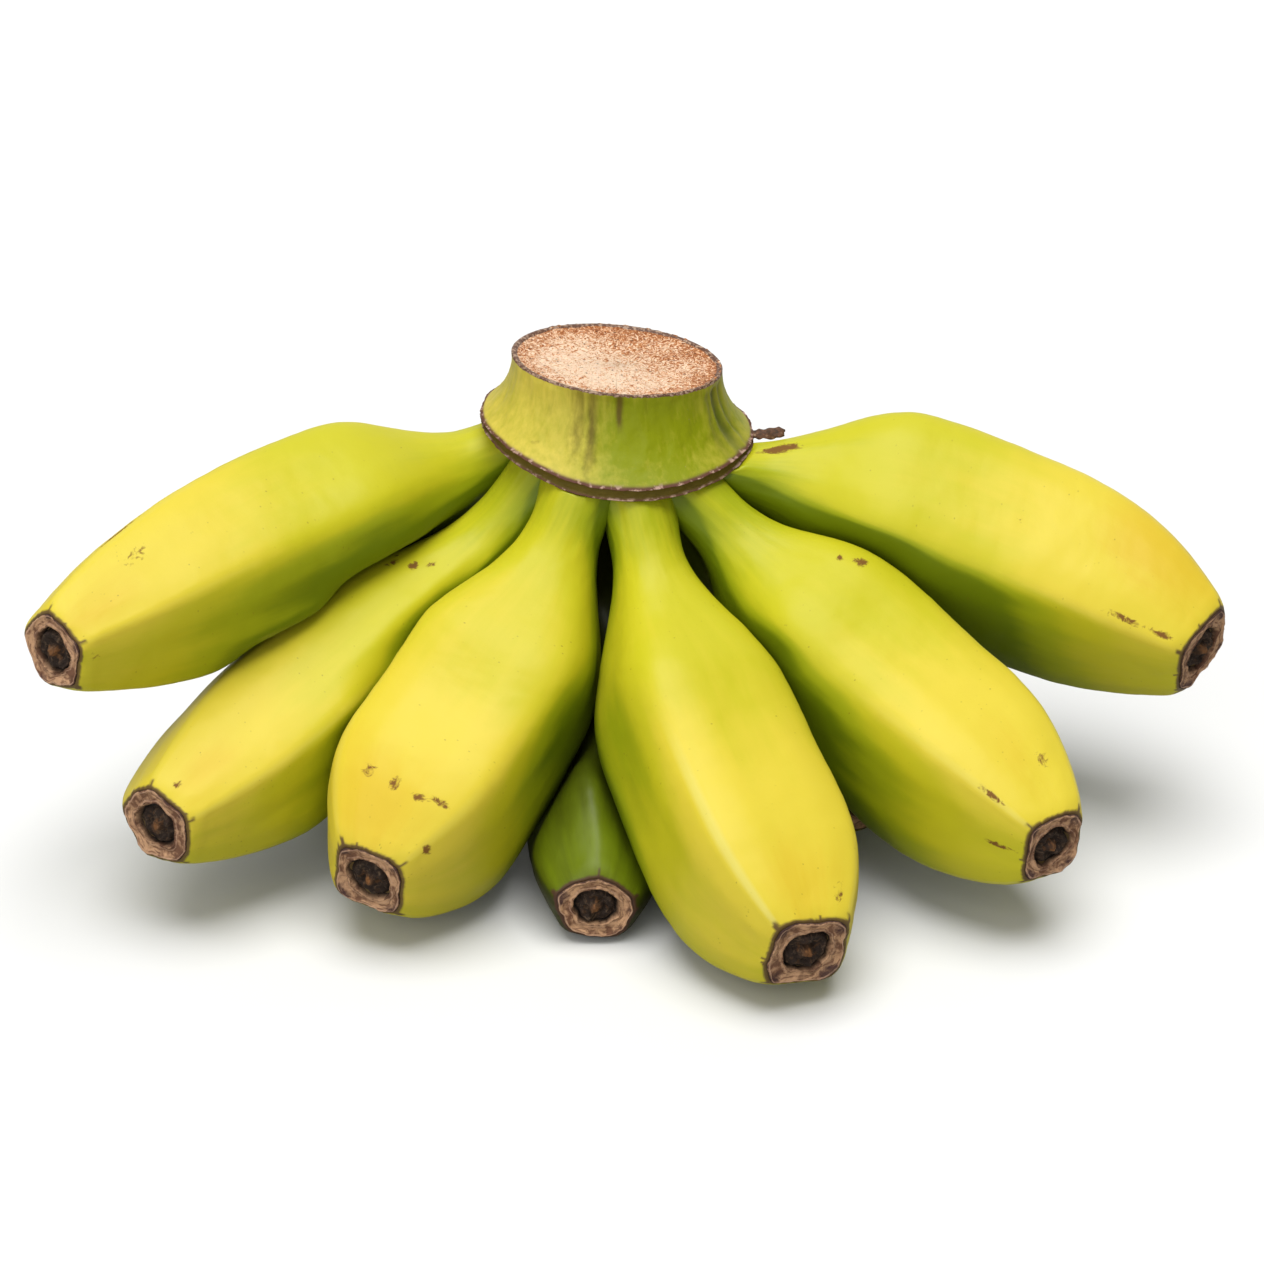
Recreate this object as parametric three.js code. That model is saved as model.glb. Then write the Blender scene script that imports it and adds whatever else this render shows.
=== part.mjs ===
// A hand of burro bananas: six fingers in the front row and four in the back row, grown at one crown.
// Millimetres, +Z up. The hand rests on the undersides of its fingers. Its cut crown stands at the top
// and back, and the fingertips reach towards -Y, so -Y is the front, +X the right hand side and -X the left.
// The origin is the middle of the bounding box at the height of the surface that the hand rests on.

import * as THREE from "three";
import { mergeVertices } from "three/addons/utils/BufferGeometryUtils.js";

// Crown: the stub of the stalk, cut across at the top, on the ring-shaped scar of the fallen bract.
// Its axis is x = 0, y = 0 while the hand is being built.
const CROWN_TOP = 105; // height of the cut face's middle
const CUT_HALF_WIDTH = 24; // cut face, across the hand
const CUT_HALF_DEPTH = 19.5; // cut face, front to back
const CUT_DISH = 1.2; // how far the cut face sinks in its middle
const CUT_ROLL = 5.3; // degrees that the crown rolls down to the right
const SCAR_HALF_WIDTH = 31; // the scar, across the hand
const SCAR_HALF_DEPTH = 29; // the scar, front to back
const SCAR_DROP = 13.6; // the scar's upper edge below the cut face, at the sides
const SCAR_FRONT_DIP = 5; // how much lower the scar runs at the front
const SCAR_BAND = 3; // height of the scar
const SCAR_LIP = 0.6; // how far its two edges stand proud
const CROWN_UNDER = 8; // how far the rounded underside hangs below the scar in its middle
const UNDERSIDE_REACH = 1.12; // how far out the necks keep below the crown, as a share of the scar
const CROWN_FLARE = 2.3; // how late the crown's wall flares out to the scar
const CROWN_SEGMENTS = 40;

// Bract stub: the dried scrap of bract left beside the scar, over the last finger of the front row.
const STUB_LENGTH = 7;
const STUB_WIDTH = 3;
const STUB_THICKNESS = 1.4;
const STUB_PLACE = [34.6, -0.5, 86.4];

// Fingers.
const STATIONS = 20; // rings along a finger
const SIDES = 20; // points round a ring: each corner of a four- or five-cornered finger falls on one of them
const END_CROWDING = 0.4; // 0 spaces the rings evenly, 1 crowds them at both ends
const SHOULDER_START = 0.09; // share of the length where the neck starts to widen
const TIP_FULLNESS = 2.2; // how long the finger keeps its width before it narrows to the tip
const ROUND_SHARPNESS = 2; // a section of sharpness 2 is round
const FOUR_CORNER_SHARPNESS = 5;
const FIVE_CORNER_SHARPNESS = 9;
const BLOSSOM_RIM = 0.62; // inner edge of the corky ring at the tip, as a share of the tip's radius
const BLOSSOM_RIM_SINK = 0.6;
const BLOSSOM_PIT = 2.5; // depth of the pit that the flower left
const PRESS_GAP = 1.5; // left between fingers that press on each other
const CROWN_GAP = 0.3; // left between the crown and the necks under it

// One entry for each finger.
// start: where the middle of the neck springs from the crown.
// fan and lean: degrees at the neck, degrees at the tip, and how late the change comes. A fan of 0 points
// straight down and 90 straight to the right; a lean of 0 keeps in the plane of the crown and 90 points
// straight at the front.
// corners, roll and twist: how many ridges run along the finger, the degrees that they are turned at the
// neck, and the degrees that they turn further on the way to the tip.
// neck and tip: radius there as a share of the full radius. shoulder and belly: shares of the length where
// the finger reaches its full width and where it starts to narrow. hold: how well it keeps its own shape
// where a neighbour presses on it; the one with the lower hold gives way.
const FRONT_ROW = [
  { name: "finger_front_1", start: [-21, 3.6, 81], fan: [-73, -92, 0.8], lean: [8, 52, 0.55],
    length: 129, width: 41.6, depth: 39.5, corners: 5, roll: 45, twist: 0,
    neck: 0.465, shoulder: 0.36, belly: 0.48, tip: 0.43, hold: 0.3 },
  { name: "finger_front_2", start: [-17, -10.4, 80.8], fan: [-32, -87.5, 0.93], lean: [4.4, 57, 0.8],
    length: 127, width: 40, depth: 40, corners: 5, roll: 21, twist: 20,
    neck: 0.435, shoulder: 0.44, belly: 0.58, tip: 0.46, hold: 2.5 },
  { name: "finger_front_3", start: [-8, -20.6, 82.9], fan: [-20, -68, 1.5], lean: [17, 64, 1.1],
    length: 107, width: 41.9, depth: 41.5, corners: 4, roll: 54, twist: 52,
    neck: 0.39, shoulder: 0.43, belly: 0.72, tip: 0.42, hold: 8 },
  { name: "finger_front_4", start: [4.6, -20.9, 79.2], fan: [12, 63.7, 1.45], lean: [29, 67, 0.86],
    length: 118.5, width: 39.2, depth: 41.5, corners: 4, roll: 22, twist: -49,
    neck: 0.395, shoulder: 0.43, belly: 0.71, tip: 0.47, hold: 5 },
  { name: "finger_front_5", start: [15.4, -16.3, 81.4], fan: [41, 80, 1.4], lean: [6.8, 56.5, 0.83],
    length: 123, width: 39.5, depth: 37.8, corners: 4, roll: 9, twist: -45,
    neck: 0.365, shoulder: 0.37, belly: 0.67, tip: 0.43, hold: 2.5 },
  { name: "finger_front_6", start: [20.3, -9.1, 83.9], fan: [71, 74, 1], lean: [-10.7, 38, 1.15],
    length: 124, width: 40.7, depth: 38.6, corners: 4, roll: 80, twist: -1,
    neck: 0.38, shoulder: 0.36, belly: 0.62, tip: 0.48, hold: 1 },
];
const BACK_ROW = [
  { name: "finger_back_1", start: [-17, 11, 79], fan: [-35, -24, 1], lean: [-30, 92, 0.93],
    length: 111, width: 38, depth: 37, corners: 5, roll: 10, twist: 0,
    neck: 0.45, shoulder: 0.4, belly: 0.58, tip: 0.46, hold: 0.2 },
  { name: "finger_back_2", start: [-4.5, 11, 78], fan: [4, -8, 1], lean: [-10, 88, 0.55],
    length: 126, width: 39, depth: 35.5, corners: 5, roll: 23, twist: -1,
    neck: 0.475, shoulder: 0.4, belly: 0.58, tip: 0.46, hold: 0.3 },
  { name: "finger_back_3", start: [7, 11, 78], fan: [16, 6, 1], lean: [-25, 92, 0.89],
    length: 104, width: 37, depth: 36, corners: 4, roll: 40, twist: 0,
    neck: 0.42, shoulder: 0.4, belly: 0.56, tip: 0.46, hold: 0.3 },
  { name: "finger_back_4", start: [17, 11, 79], fan: [35, 24, 1], lean: [-30, 92, 0.93],
    length: 111, width: 38, depth: 37, corners: 4, roll: 45, twist: 0,
    neck: 0.42, shoulder: 0.4, belly: 0.58, tip: 0.46, hold: 0.3 },
];

const FINISHES = {
  peel: { color: 0xc9cf2f, roughness: 0.5, metalness: 0 },
  crown: { color: 0xa8a83a, roughness: 0.6, metalness: 0 },
  bract: { color: 0x6b4a2c, roughness: 0.85, metalness: 0 },
};

const radians = THREE.MathUtils.degToRad;
const lerp = THREE.MathUtils.lerp;
const smoothstep = THREE.MathUtils.smoothstep;

// How much lower a point is for lying to the right of the crown's middle.
function rollDrop(x) {
  return x * Math.tan(radians(CUT_ROLL));
}

// Height of the scar's lower edge at an angle round the crown, 0 at the front and positive to the right.
function scarFoot(angle) {
  const dip = SCAR_FRONT_DIP * Math.max(0, Math.cos(angle)) ** 2;
  return CROWN_TOP - SCAR_DROP - SCAR_BAND - dip - rollDrop(SCAR_HALF_WIDTH * Math.sin(angle));
}

// Height of the crown's rounded underside over a point. A little beyond the scar there is none.
function crownUnderside(x, y) {
  const outness = Math.hypot(x / SCAR_HALF_WIDTH, y / SCAR_HALF_DEPTH);
  if (outness > UNDERSIDE_REACH) return Infinity;
  const middle = CROWN_TOP - SCAR_DROP - SCAR_BAND - CROWN_UNDER;
  const angle = Math.atan2(x / SCAR_HALF_WIDTH, -y / SCAR_HALF_DEPTH);
  return lerp(middle, scarFoot(angle), Math.min(1, outness) ** 2);
}

// A closed body turned from rows of points: the first and last rows close it on its axis.
// pointAt gives the place of a row's point at a number of sides round the body.
function turnedBody(rows, sides, pointAt) {
  const profile = [];
  for (let row = 0; row < rows; row++) {
    const onAxis = row === 0 || row === rows - 1;
    profile.push(new THREE.Vector2(onAxis ? 0 : 1, row));
  }
  const geometry = new THREE.LatheGeometry(profile, sides);
  const position = geometry.getAttribute("position");
  for (let side = 0; side <= sides; side++) {
    for (let row = 0; row < rows; row++) {
      const { x, y, z } = pointAt(row, side % sides);
      position.setXYZ(side * rows + row, x, y, z);
    }
  }
  geometry.deleteAttribute("normal");
  geometry.deleteAttribute("uv");
  const welded = mergeVertices(geometry);
  welded.computeVertexNormals();
  return welded;
}

// Where along a finger a ring stands, as a share of its length.
function stationShare(index) {
  const even = index / STATIONS;
  const crowded = (1 - Math.cos(Math.PI * even)) / 2;
  return lerp(even, crowded, END_CROWDING);
}

// The finger's radius at a share of its length, as a share of its full radius.
function fullness(finger, share) {
  const shoulder = lerp(finger.neck, 1, smoothstep(share, SHOULDER_START, finger.shoulder));
  const past = Math.max(0, (share - finger.belly) / (1 - finger.belly));
  return shoulder * (1 - (1 - finger.tip) * past ** TIP_FULLNESS);
}

// The section of a finger, as the distance from its middle to its edge: a polygon with rounded corners,
// with its first corner at angle 0 and its flats a distance of 1 from the middle.
function softPolygon(angle, corners, sharpness) {
  let pull = 0;
  for (let flat = 0; flat < corners; flat++) {
    const facing = Math.cos(angle - ((flat + 0.5) / corners) * 2 * Math.PI);
    pull += Math.max(0, facing) ** sharpness;
  }
  return pull ** (-1 / sharpness);
}

// How angular a finger's section is at a share of its length: round at the neck and cornered from the
// shoulder on.
function sharpnessAt(finger, share) {
  const sharpest = finger.corners === 4 ? FOUR_CORNER_SHARPNESS : FIVE_CORNER_SHARPNESS;
  return lerp(ROUND_SHARPNESS, sharpest, smoothstep(share, SHOULDER_START, finger.shoulder));
}

// The skin's place in the plane of a section, across and up from its middle, at an angle turned from across.
function skinOffset(finger, share, turned) {
  const angle = turned - radians(finger.roll + finger.twist * share);
  const out = fullness(finger, share) * softPolygon(angle, finger.corners, sharpnessAt(finger, share));
  return {
    across: (out * Math.cos(turned) * finger.width) / 2,
    up: (out * Math.sin(turned) * finger.depth) / 2,
  };
}

// The direction of a finger at a share of its length, and the two directions across it.
function directions(finger, share) {
  const turn = ([atNeck, atTip, lateness]) => radians(lerp(atNeck, atTip, share ** lateness));
  const fan = turn(finger.fan);
  const lean = turn(finger.lean);
  const along = new THREE.Vector3(
    Math.cos(lean) * Math.sin(fan),
    -Math.sin(lean),
    -Math.cos(lean) * Math.cos(fan),
  );
  const across = new THREE.Vector3(Math.cos(fan), 0, Math.sin(fan));
  const up = new THREE.Vector3().crossVectors(along, across);
  return { along, across, up };
}

// The stations of a finger: the middle of each ring and the directions across it.
function stationsOf(finger) {
  const steps = 8; // short steps between two stations keep the curve true
  const point = new THREE.Vector3(...finger.start);
  const stations = [];
  for (let i = 0; i <= STATIONS; i++) {
    const share = stationShare(i);
    stations.push({ share, middle: point.clone(), ...directions(finger, share) });
    const next = stationShare(i + 1);
    for (let k = 0; k < steps && i < STATIONS; k++) {
      const { along } = directions(finger, lerp(share, next, (k + 0.5) / steps));
      point.addScaledVector(along, (finger.length * (next - share)) / steps);
    }
  }
  return stations;
}

// The ring of skin points at a station, before the fingers press on each other.
function skinRing(finger, station) {
  const ring = [];
  for (let i = 0; i < SIDES; i++) {
    const turned = (i / SIDES) * 2 * Math.PI + radians(finger.roll + finger.twist * station.share);
    const offset = skinOffset(finger, station.share, turned);
    const point = station.middle.clone();
    point.addScaledVector(station.across, offset.across).addScaledVector(station.up, offset.up);
    ring.push(point);
  }
  return ring;
}

// How deep a point lies in a finger: 0 on its middle line, and 1 half a gap outside its skin.
function depthIn({ finger, stations }, point) {
  const nearest = { distance: Infinity };
  const chord = new THREE.Line3();
  const foot = new THREE.Vector3();
  for (let i = 0; i < STATIONS; i++) {
    chord.set(stations[i].middle, stations[i + 1].middle);
    const along = chord.closestPointToPointParameter(point, true);
    const distance = chord.at(along, foot).distanceTo(point);
    if (distance < nearest.distance) Object.assign(nearest, { distance, i, along });
  }
  const [from, to] = [stations[nearest.i], stations[nearest.i + 1]];
  const out = point.clone().sub(from.middle.clone().lerp(to.middle, nearest.along));
  const share = lerp(from.share, to.share, nearest.along);
  const { across, up } = directions(finger, share);
  const turned = Math.atan2(out.dot(up) / finger.depth, out.dot(across) / finger.width);
  const skin = skinOffset(finger, share, turned);
  return nearest.distance / (Math.hypot(skin.across, skin.up) + PRESS_GAP / 2);
}

// Moves a skin point back to where its finger and a neighbour press equally hard: fingers that touch grow
// flat. A finger presses harder the deeper the point lies in it and the higher its hold is.
function pressBack(point, middle, own, neighbour) {
  const inward = middle.clone().sub(point).normalize();
  const reach = middle.distanceTo(point);
  const at = (back) => point.clone().addScaledVector(inward, back - PRESS_GAP / 2);
  const push = (body, spot) => body.finger.hold * Math.max(0, 1 - depthIn(body, spot));
  const clear = (back) => depthIn(neighbour, at(back)) > 1 || push(neighbour, at(back)) < push(own, at(back));
  if (clear(0)) return;
  let [low, high] = [0, reach];
  for (let halving = 0; halving < 12; halving++) {
    const half = (low + high) / 2;
    if (clear(half)) high = half;
    else low = half;
  }
  point.addScaledVector(inward, high);
}

// Keeps a skin point under the crown and above the surface that the hand rests on.
function keepClear(point) {
  point.z = Math.min(point.z, crownUnderside(point.x, point.y) - CROWN_GAP);
  point.z = Math.max(point.z, 0);
}

// A finger: flat at the neck's end, with the corky ring and the pit of the blossom end at its tip.
function fingerGeometry(own, neighbours) {
  const rings = own.stations.map((station) => {
    const ring = skinRing(own.finger, station);
    for (const point of ring) {
      for (const neighbour of neighbours) pressBack(point, station.middle, own, neighbour);
      keepClear(point);
    }
    return ring;
  });
  const tip = centreOf(rings[STATIONS]);
  const { along } = own.stations[STATIONS];
  const rim = rings[STATIONS].map((point) =>
    point.clone().lerp(tip, 1 - BLOSSOM_RIM).addScaledVector(along, -BLOSSOM_RIM_SINK),
  );
  const pit = tip.clone().addScaledVector(along, -BLOSSOM_PIT);
  const rows = [[centreOf(rings[0])], ...rings, rim, [pit]];
  return turnedBody(rows.length, SIDES, (row, side) => rows[row][side % rows[row].length]);
}

// The middle of a ring of points.
function centreOf(ring) {
  const sum = new THREE.Vector3();
  for (const point of ring) sum.add(point);
  return sum.divideScalar(ring.length);
}

// The crown, row by row from the middle of its underside to the middle of the cut face.
function crownGeometry() {
  const underside = [0, 0.3, 0.6, 0.85, 0.97].map((outness) => ({ outness, from: "under" }));
  const scar = [
    { lip: 0, up: 0.15 },
    { lip: SCAR_LIP, up: 0.3 },
    { lip: 0.2 * SCAR_LIP, up: 0.5 },
    { lip: SCAR_LIP, up: 0.75 },
    { lip: 0, up: 1 },
  ].map((edge) => ({ ...edge, from: "scar" }));
  const wall = [0.12, 0.3, 0.5, 0.75, 0.95].map((rise) => ({ rise, from: "wall" }));
  const cut = [1, 0.96, 0.6, 0].map((outness) => ({ outness, from: "cut" }));
  const rows = [...underside, ...scar, ...wall, ...cut];
  return turnedBody(rows.length, CROWN_SEGMENTS, (row, side) => {
    const angle = (side / CROWN_SEGMENTS) * 2 * Math.PI;
    return crownPoint(rows[row], angle);
  });
}

// A point of the crown at an angle round it, 0 at the front and positive to the right.
function crownPoint(row, angle) {
  const foot = scarFoot(angle);
  const at = (halfWidth, halfDepth, z) =>
    new THREE.Vector3(halfWidth * Math.sin(angle), -halfDepth * Math.cos(angle), z);
  if (row.from === "under") {
    const place = at(row.outness * SCAR_HALF_WIDTH, row.outness * SCAR_HALF_DEPTH, 0);
    return place.setZ(crownUnderside(place.x, place.y));
  }
  if (row.from === "scar") {
    const proud = row.lip - SCAR_LIP;
    return at(SCAR_HALF_WIDTH + proud, SCAR_HALF_DEPTH + proud, foot + row.up * SCAR_BAND);
  }
  const cutEdge = CROWN_TOP - rollDrop(CUT_HALF_WIDTH * Math.sin(angle));
  if (row.from === "wall") {
    const flare = (1 - row.rise) ** CROWN_FLARE;
    const halfWidth = lerp(CUT_HALF_WIDTH, SCAR_HALF_WIDTH - SCAR_LIP, flare);
    const halfDepth = lerp(CUT_HALF_DEPTH, SCAR_HALF_DEPTH - SCAR_LIP, flare);
    return at(halfWidth, halfDepth, lerp(foot + SCAR_BAND, cutEdge, row.rise));
  }
  const place = at(row.outness * CUT_HALF_WIDTH, row.outness * CUT_HALF_DEPTH, 0);
  const dish = CUT_DISH * (1 - row.outness ** 2);
  return place.setZ(CROWN_TOP - rollDrop(place.x) - dish);
}

// The dried scrap of bract: a short curled flake.
function stubGeometry() {
  const flake = new THREE.SphereGeometry(0.5, 10, 8);
  flake.scale(STUB_LENGTH, STUB_WIDTH, STUB_THICKNESS);
  flake.translate(...STUB_PLACE);
  return flake;
}

function named(name, geometry, finish) {
  const mesh = new THREE.Mesh(geometry, new THREE.MeshStandardMaterial(FINISHES[finish]));
  mesh.name = name;
  return mesh;
}

function buildHand() {
  const hand = new THREE.Group();
  const fingers = [...FRONT_ROW, ...BACK_ROW].map((finger) => ({ finger, stations: stationsOf(finger) }));
  for (const own of fingers) {
    const neighbours = fingers.filter((other) => other !== own);
    hand.add(named(own.finger.name, fingerGeometry(own, neighbours), "peel"));
  }
  hand.add(named("crown", crownGeometry(), "crown"));
  hand.add(named("bract_stub", stubGeometry(), "bract"));
  return hand;
}

const hand = buildHand();
const middle = new THREE.Box3().setFromObject(hand).getCenter(new THREE.Vector3());
hand.position.set(-middle.x, -middle.y, 0);

export default new THREE.Group().add(hand);
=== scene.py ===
"""The looks of a hand of burro bananas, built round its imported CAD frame.

Every length is in metres and in the frame's own axes: +Z up, the fingertips towards -Y. The shapes are read
from the frame's own nodes: a finger's CAD solid gives the rings that its fine skin passes through.
"""

import logging
import math
from dataclasses import dataclass, field
from enum import Enum, auto

import bmesh
import bpy
import numpy as np
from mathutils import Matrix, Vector, noise


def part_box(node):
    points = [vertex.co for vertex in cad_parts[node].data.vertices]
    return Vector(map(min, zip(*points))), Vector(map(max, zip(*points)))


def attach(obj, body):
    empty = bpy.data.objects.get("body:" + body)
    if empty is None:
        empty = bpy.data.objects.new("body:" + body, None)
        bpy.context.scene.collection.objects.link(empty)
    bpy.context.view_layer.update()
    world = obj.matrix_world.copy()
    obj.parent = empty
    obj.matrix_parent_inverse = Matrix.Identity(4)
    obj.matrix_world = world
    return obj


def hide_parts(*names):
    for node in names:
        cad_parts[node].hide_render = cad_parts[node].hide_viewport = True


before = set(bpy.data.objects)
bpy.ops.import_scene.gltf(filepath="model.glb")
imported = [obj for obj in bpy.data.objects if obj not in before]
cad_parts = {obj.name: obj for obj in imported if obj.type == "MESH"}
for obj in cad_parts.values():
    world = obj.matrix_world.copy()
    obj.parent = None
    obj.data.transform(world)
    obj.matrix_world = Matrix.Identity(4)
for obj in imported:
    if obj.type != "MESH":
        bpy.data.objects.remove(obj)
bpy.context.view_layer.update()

LOG = logging.getLogger("burro_banana")
MM = 0.001
BODY = "root"
CAD_WELD = 1e-6
WELD = 1e-7
TINY = 1e-12

Profile = list[tuple[float, float]]


# ---------------------------------------------------------------------------------------------------------- helpers


def linear(hex_colour: str) -> tuple[float, float, float, float]:
    """Turns an sRGB hex colour into linear RGBA.

    Args:
        hex_colour: six hex digits after a hash sign.

    Returns:
        The linear red, green, blue and an alpha of one.
    """
    parts = [int(hex_colour[i : i + 2], 16) / 255 for i in (1, 3, 5)]
    lit = [c / 12.92 if c <= 0.04045 else ((c + 0.055) / 1.055) ** 2.4 for c in parts]
    return (lit[0], lit[1], lit[2], 1.0)


def add_node(
    material: bpy.types.Material, kind: str, inputs: dict[str | int, object] | None = None, **settings: object
) -> bpy.types.Node:
    """Adds a node to a material, sets it and links it.

    Args:
        material: the material whose tree gets the node.
        kind: the node's class without its ShaderNode prefix.
        inputs: what each input gets, by name or number. It is a value, an output, or a node that gives its
            first output.
        settings: the node's own properties.

    Returns:
        The node.
    """
    tree = material.node_tree
    node = tree.nodes.new("ShaderNode" + kind)
    for name, value in settings.items():
        setattr(node, name, value)
    for key, value in (inputs or {}).items():
        source = value.outputs[0] if isinstance(value, bpy.types.Node) else value
        if isinstance(source, bpy.types.NodeSocket):
            tree.links.new(source, node.inputs[key])
        else:
            node.inputs[key].default_value = source
    return node


def new_material(name: str) -> bpy.types.Material:
    """Makes a material with nothing in its tree yet.

    Args:
        name: what the real surface is.

    Returns:
        The material.
    """
    material = bpy.data.materials.new(name)
    material.use_nodes = True
    material.node_tree.nodes.clear()
    return material


def turns(columns: int) -> np.ndarray:
    """The angle of each of a ring's columns, from 0 round to a full turn, in radians."""
    return np.arange(columns) / columns * 2 * math.pi


def angle_from(degrees: np.ndarray, middle: float) -> np.ndarray:
    """How far each angle lies from a middle one, the short way round, in degrees."""
    return (degrees - middle + 180) % 360 - 180


def smooth(x: np.ndarray | float, low: float, high: float) -> np.ndarray:
    """Rises smoothly from 0 at low to 1 at high."""
    t = np.clip((np.asarray(x, float) - low) / (high - low), 0, 1)
    return t * t * (3 - 2 * t)


def bell(x: np.ndarray | float, width: float) -> np.ndarray:
    """A bell curve that is 1 at zero and about a third at one width."""
    return np.exp(-((np.asarray(x, float) / width) ** 2))


def through(stops: Profile, x: np.ndarray | float) -> np.ndarray:
    """Reads a profile of (place, value) stops at x, with a straight run between stops."""
    places, values = zip(*stops)
    return np.interp(x, places, values)


def fractal(points: np.ndarray, size: float, octaves: int = 3, seed: float = 0.0) -> np.ndarray:
    """Smooth noise over points.

    Args:
        points: an array of places, with x, y and z last.
        size: the size of its largest features, in metres.
        octaves: how many finer layers it has.
        seed: a shift that makes one noise differ from the next.

    Returns:
        About -1 to 1 at each point.
    """
    flat = points.reshape(-1, 3) / size + seed
    values = [noise.fractal(Vector(p), 1.0, 2.0, octaves, noise_basis="PERLIN_ORIGINAL") for p in flat]
    return np.array(values).reshape(points.shape[:-1])


# ------------------------------------------------------------------------------------------------------ CAD surfaces


class Winding(Enum):
    """Which way a finger's rings run, seen from the crown."""

    CLOCKWISE = 1
    ANTICLOCKWISE = -1


@dataclass
class Cage:
    """The rings of points that a turned CAD solid is made of."""

    node: str
    sides: int
    start: Vector
    winding: Winding
    rings: list[np.ndarray] = field(default_factory=list)

    def read(self) -> "Cage":
        """Walks the node's mesh from the pole nearest the start to the other.

        Returns:
            The cage itself, with its rings in order. The poles are rings of one point.
        """
        mesh = bmesh.new()
        mesh.from_mesh(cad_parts[self.node].data)
        bmesh.ops.remove_doubles(mesh, verts=mesh.verts, dist=CAD_WELD)
        poles = [v for v in mesh.verts if len(v.link_edges) == self.sides]
        poles.sort(key=lambda v: (v.co - self.start).length)
        level = {poles[0]: 0}
        ring = [poles[0]]
        self.rings = [np.array([poles[0].co])]
        while True:
            outer = {e.other_vert(v) for v in ring for e in v.link_edges} - set(level)
            if not outer:
                break
            for v in outer:
                level[v] = len(self.rings)
            ring = self._in_order(outer, poles[-1].co)
            self.rings.append(self._aligned(np.array([v.co for v in ring])))
        mesh.free()
        return self

    def _in_order(self, ring: set[bmesh.types.BMVert], far: Vector) -> list[bmesh.types.BMVert]:
        """Puts a ring's vertices in the order in which its edges join them, from the highest one on.

        Args:
            ring: the vertices.
            far: the pole at the other end, which tells clockwise from anticlockwise.

        Returns:
            The vertices in order.
        """
        middle = sum((v.co for v in ring), Vector()) / len(ring)
        first = max(ring, key=lambda v: (v.co.z, v.co.y))

        def turn(vert: bmesh.types.BMVert) -> float:
            """Measures how far a vertex lies from the first, the way in which the rings run."""
            return self.winding.value * (first.co - middle).cross(vert.co - middle).dot(far - middle)

        walked = [first]
        while True:
            near = {e.other_vert(walked[-1]) for e in walked[-1].link_edges}
            ahead = [v for v in near & ring if v not in walked]
            if not ahead:
                return walked
            walked.append(max(ahead, key=turn))

    def _aligned(self, ring: np.ndarray) -> np.ndarray:
        """Turns and flips a ring so that each of its points lies beside the last ring's.

        Args:
            ring: the ring's points in order.

        Returns:
            The same points, in the order that runs beside the last ring.
        """
        last = self.rings[-1]
        if len(last) != len(ring):
            return ring
        ways = [np.roll(way, k, axis=0) for way in (ring, ring[::-1]) for k in range(len(ring))]
        return min(ways, key=lambda way: float(((way - last) ** 2).sum()))


def spread_round(rings: np.ndarray, columns: int) -> np.ndarray:
    """Passes a smooth closed curve through each ring.

    Args:
        rings: the rings, as an array of ring by point by axis.
        columns: how many points each fine ring gets.

    Returns:
        The fine rings.
    """
    sides = rings.shape[1]
    place = np.arange(columns) * sides / columns
    whole = place.astype(int)
    return hermite(*(rings[:, (whole + k) % sides] for k in (-1, 0, 1, 2)), (place - whole)[None, :, None])


def hermite(
    before: np.ndarray, start: np.ndarray, end: np.ndarray, after: np.ndarray, t: np.ndarray
) -> np.ndarray:
    """Runs along a smooth curve from start to end, which also passes the points before and after.

    Args:
        before: the point before the start.
        start: where the run starts.
        end: where the run ends.
        after: the point after the end.
        t: how far along the run, 0 to 1.

    Returns:
        The point there.
    """
    bend = 2 * before - 5 * start + 4 * end - after
    twist = -before + 3 * start - 3 * end + after
    return start + 0.5 * t * (end - before + t * (bend + t * twist))


def spread_along(rings: np.ndarray, places: np.ndarray, wanted: np.ndarray) -> np.ndarray:
    """Passes a smooth curve through the same point of every ring.

    Args:
        rings: the rings, as an array of ring by point by axis.
        places: where along the piece each ring lies.
        wanted: where along the piece the fine rings lie.

    Returns:
        The fine rings.
    """
    slopes = np.gradient(rings, places, axis=0)
    i = np.clip(np.searchsorted(places, wanted, side="right") - 1, 0, len(places) - 2)
    gap = (places[i + 1] - places[i])[:, None, None]
    t = (wanted - places[i])[:, None, None] / gap
    rise = t * t * (3 - 2 * t)
    run_in = t * (1 - t) ** 2 * gap
    run_out = t * t * (1 - t) * gap
    return rings[i] * (1 - rise) + rings[i + 1] * rise + slopes[i] * run_in - slopes[i + 1] * run_out


def outward(rings: np.ndarray) -> np.ndarray:
    """The unit directions that point out of a tube of rings.

    Args:
        rings: the rings, as an array of ring by point by axis.

    Returns:
        A direction for each point.
    """
    round_it = np.roll(rings, -1, axis=1) - np.roll(rings, 1, axis=1)
    along_it = np.gradient(rings, axis=0)
    out = np.cross(round_it, along_it)
    out /= np.linalg.norm(out, axis=2, keepdims=True) + TINY
    away = ((rings - rings.mean(axis=1, keepdims=True)) * out).sum()
    return out if away > 0 else -out


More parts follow.
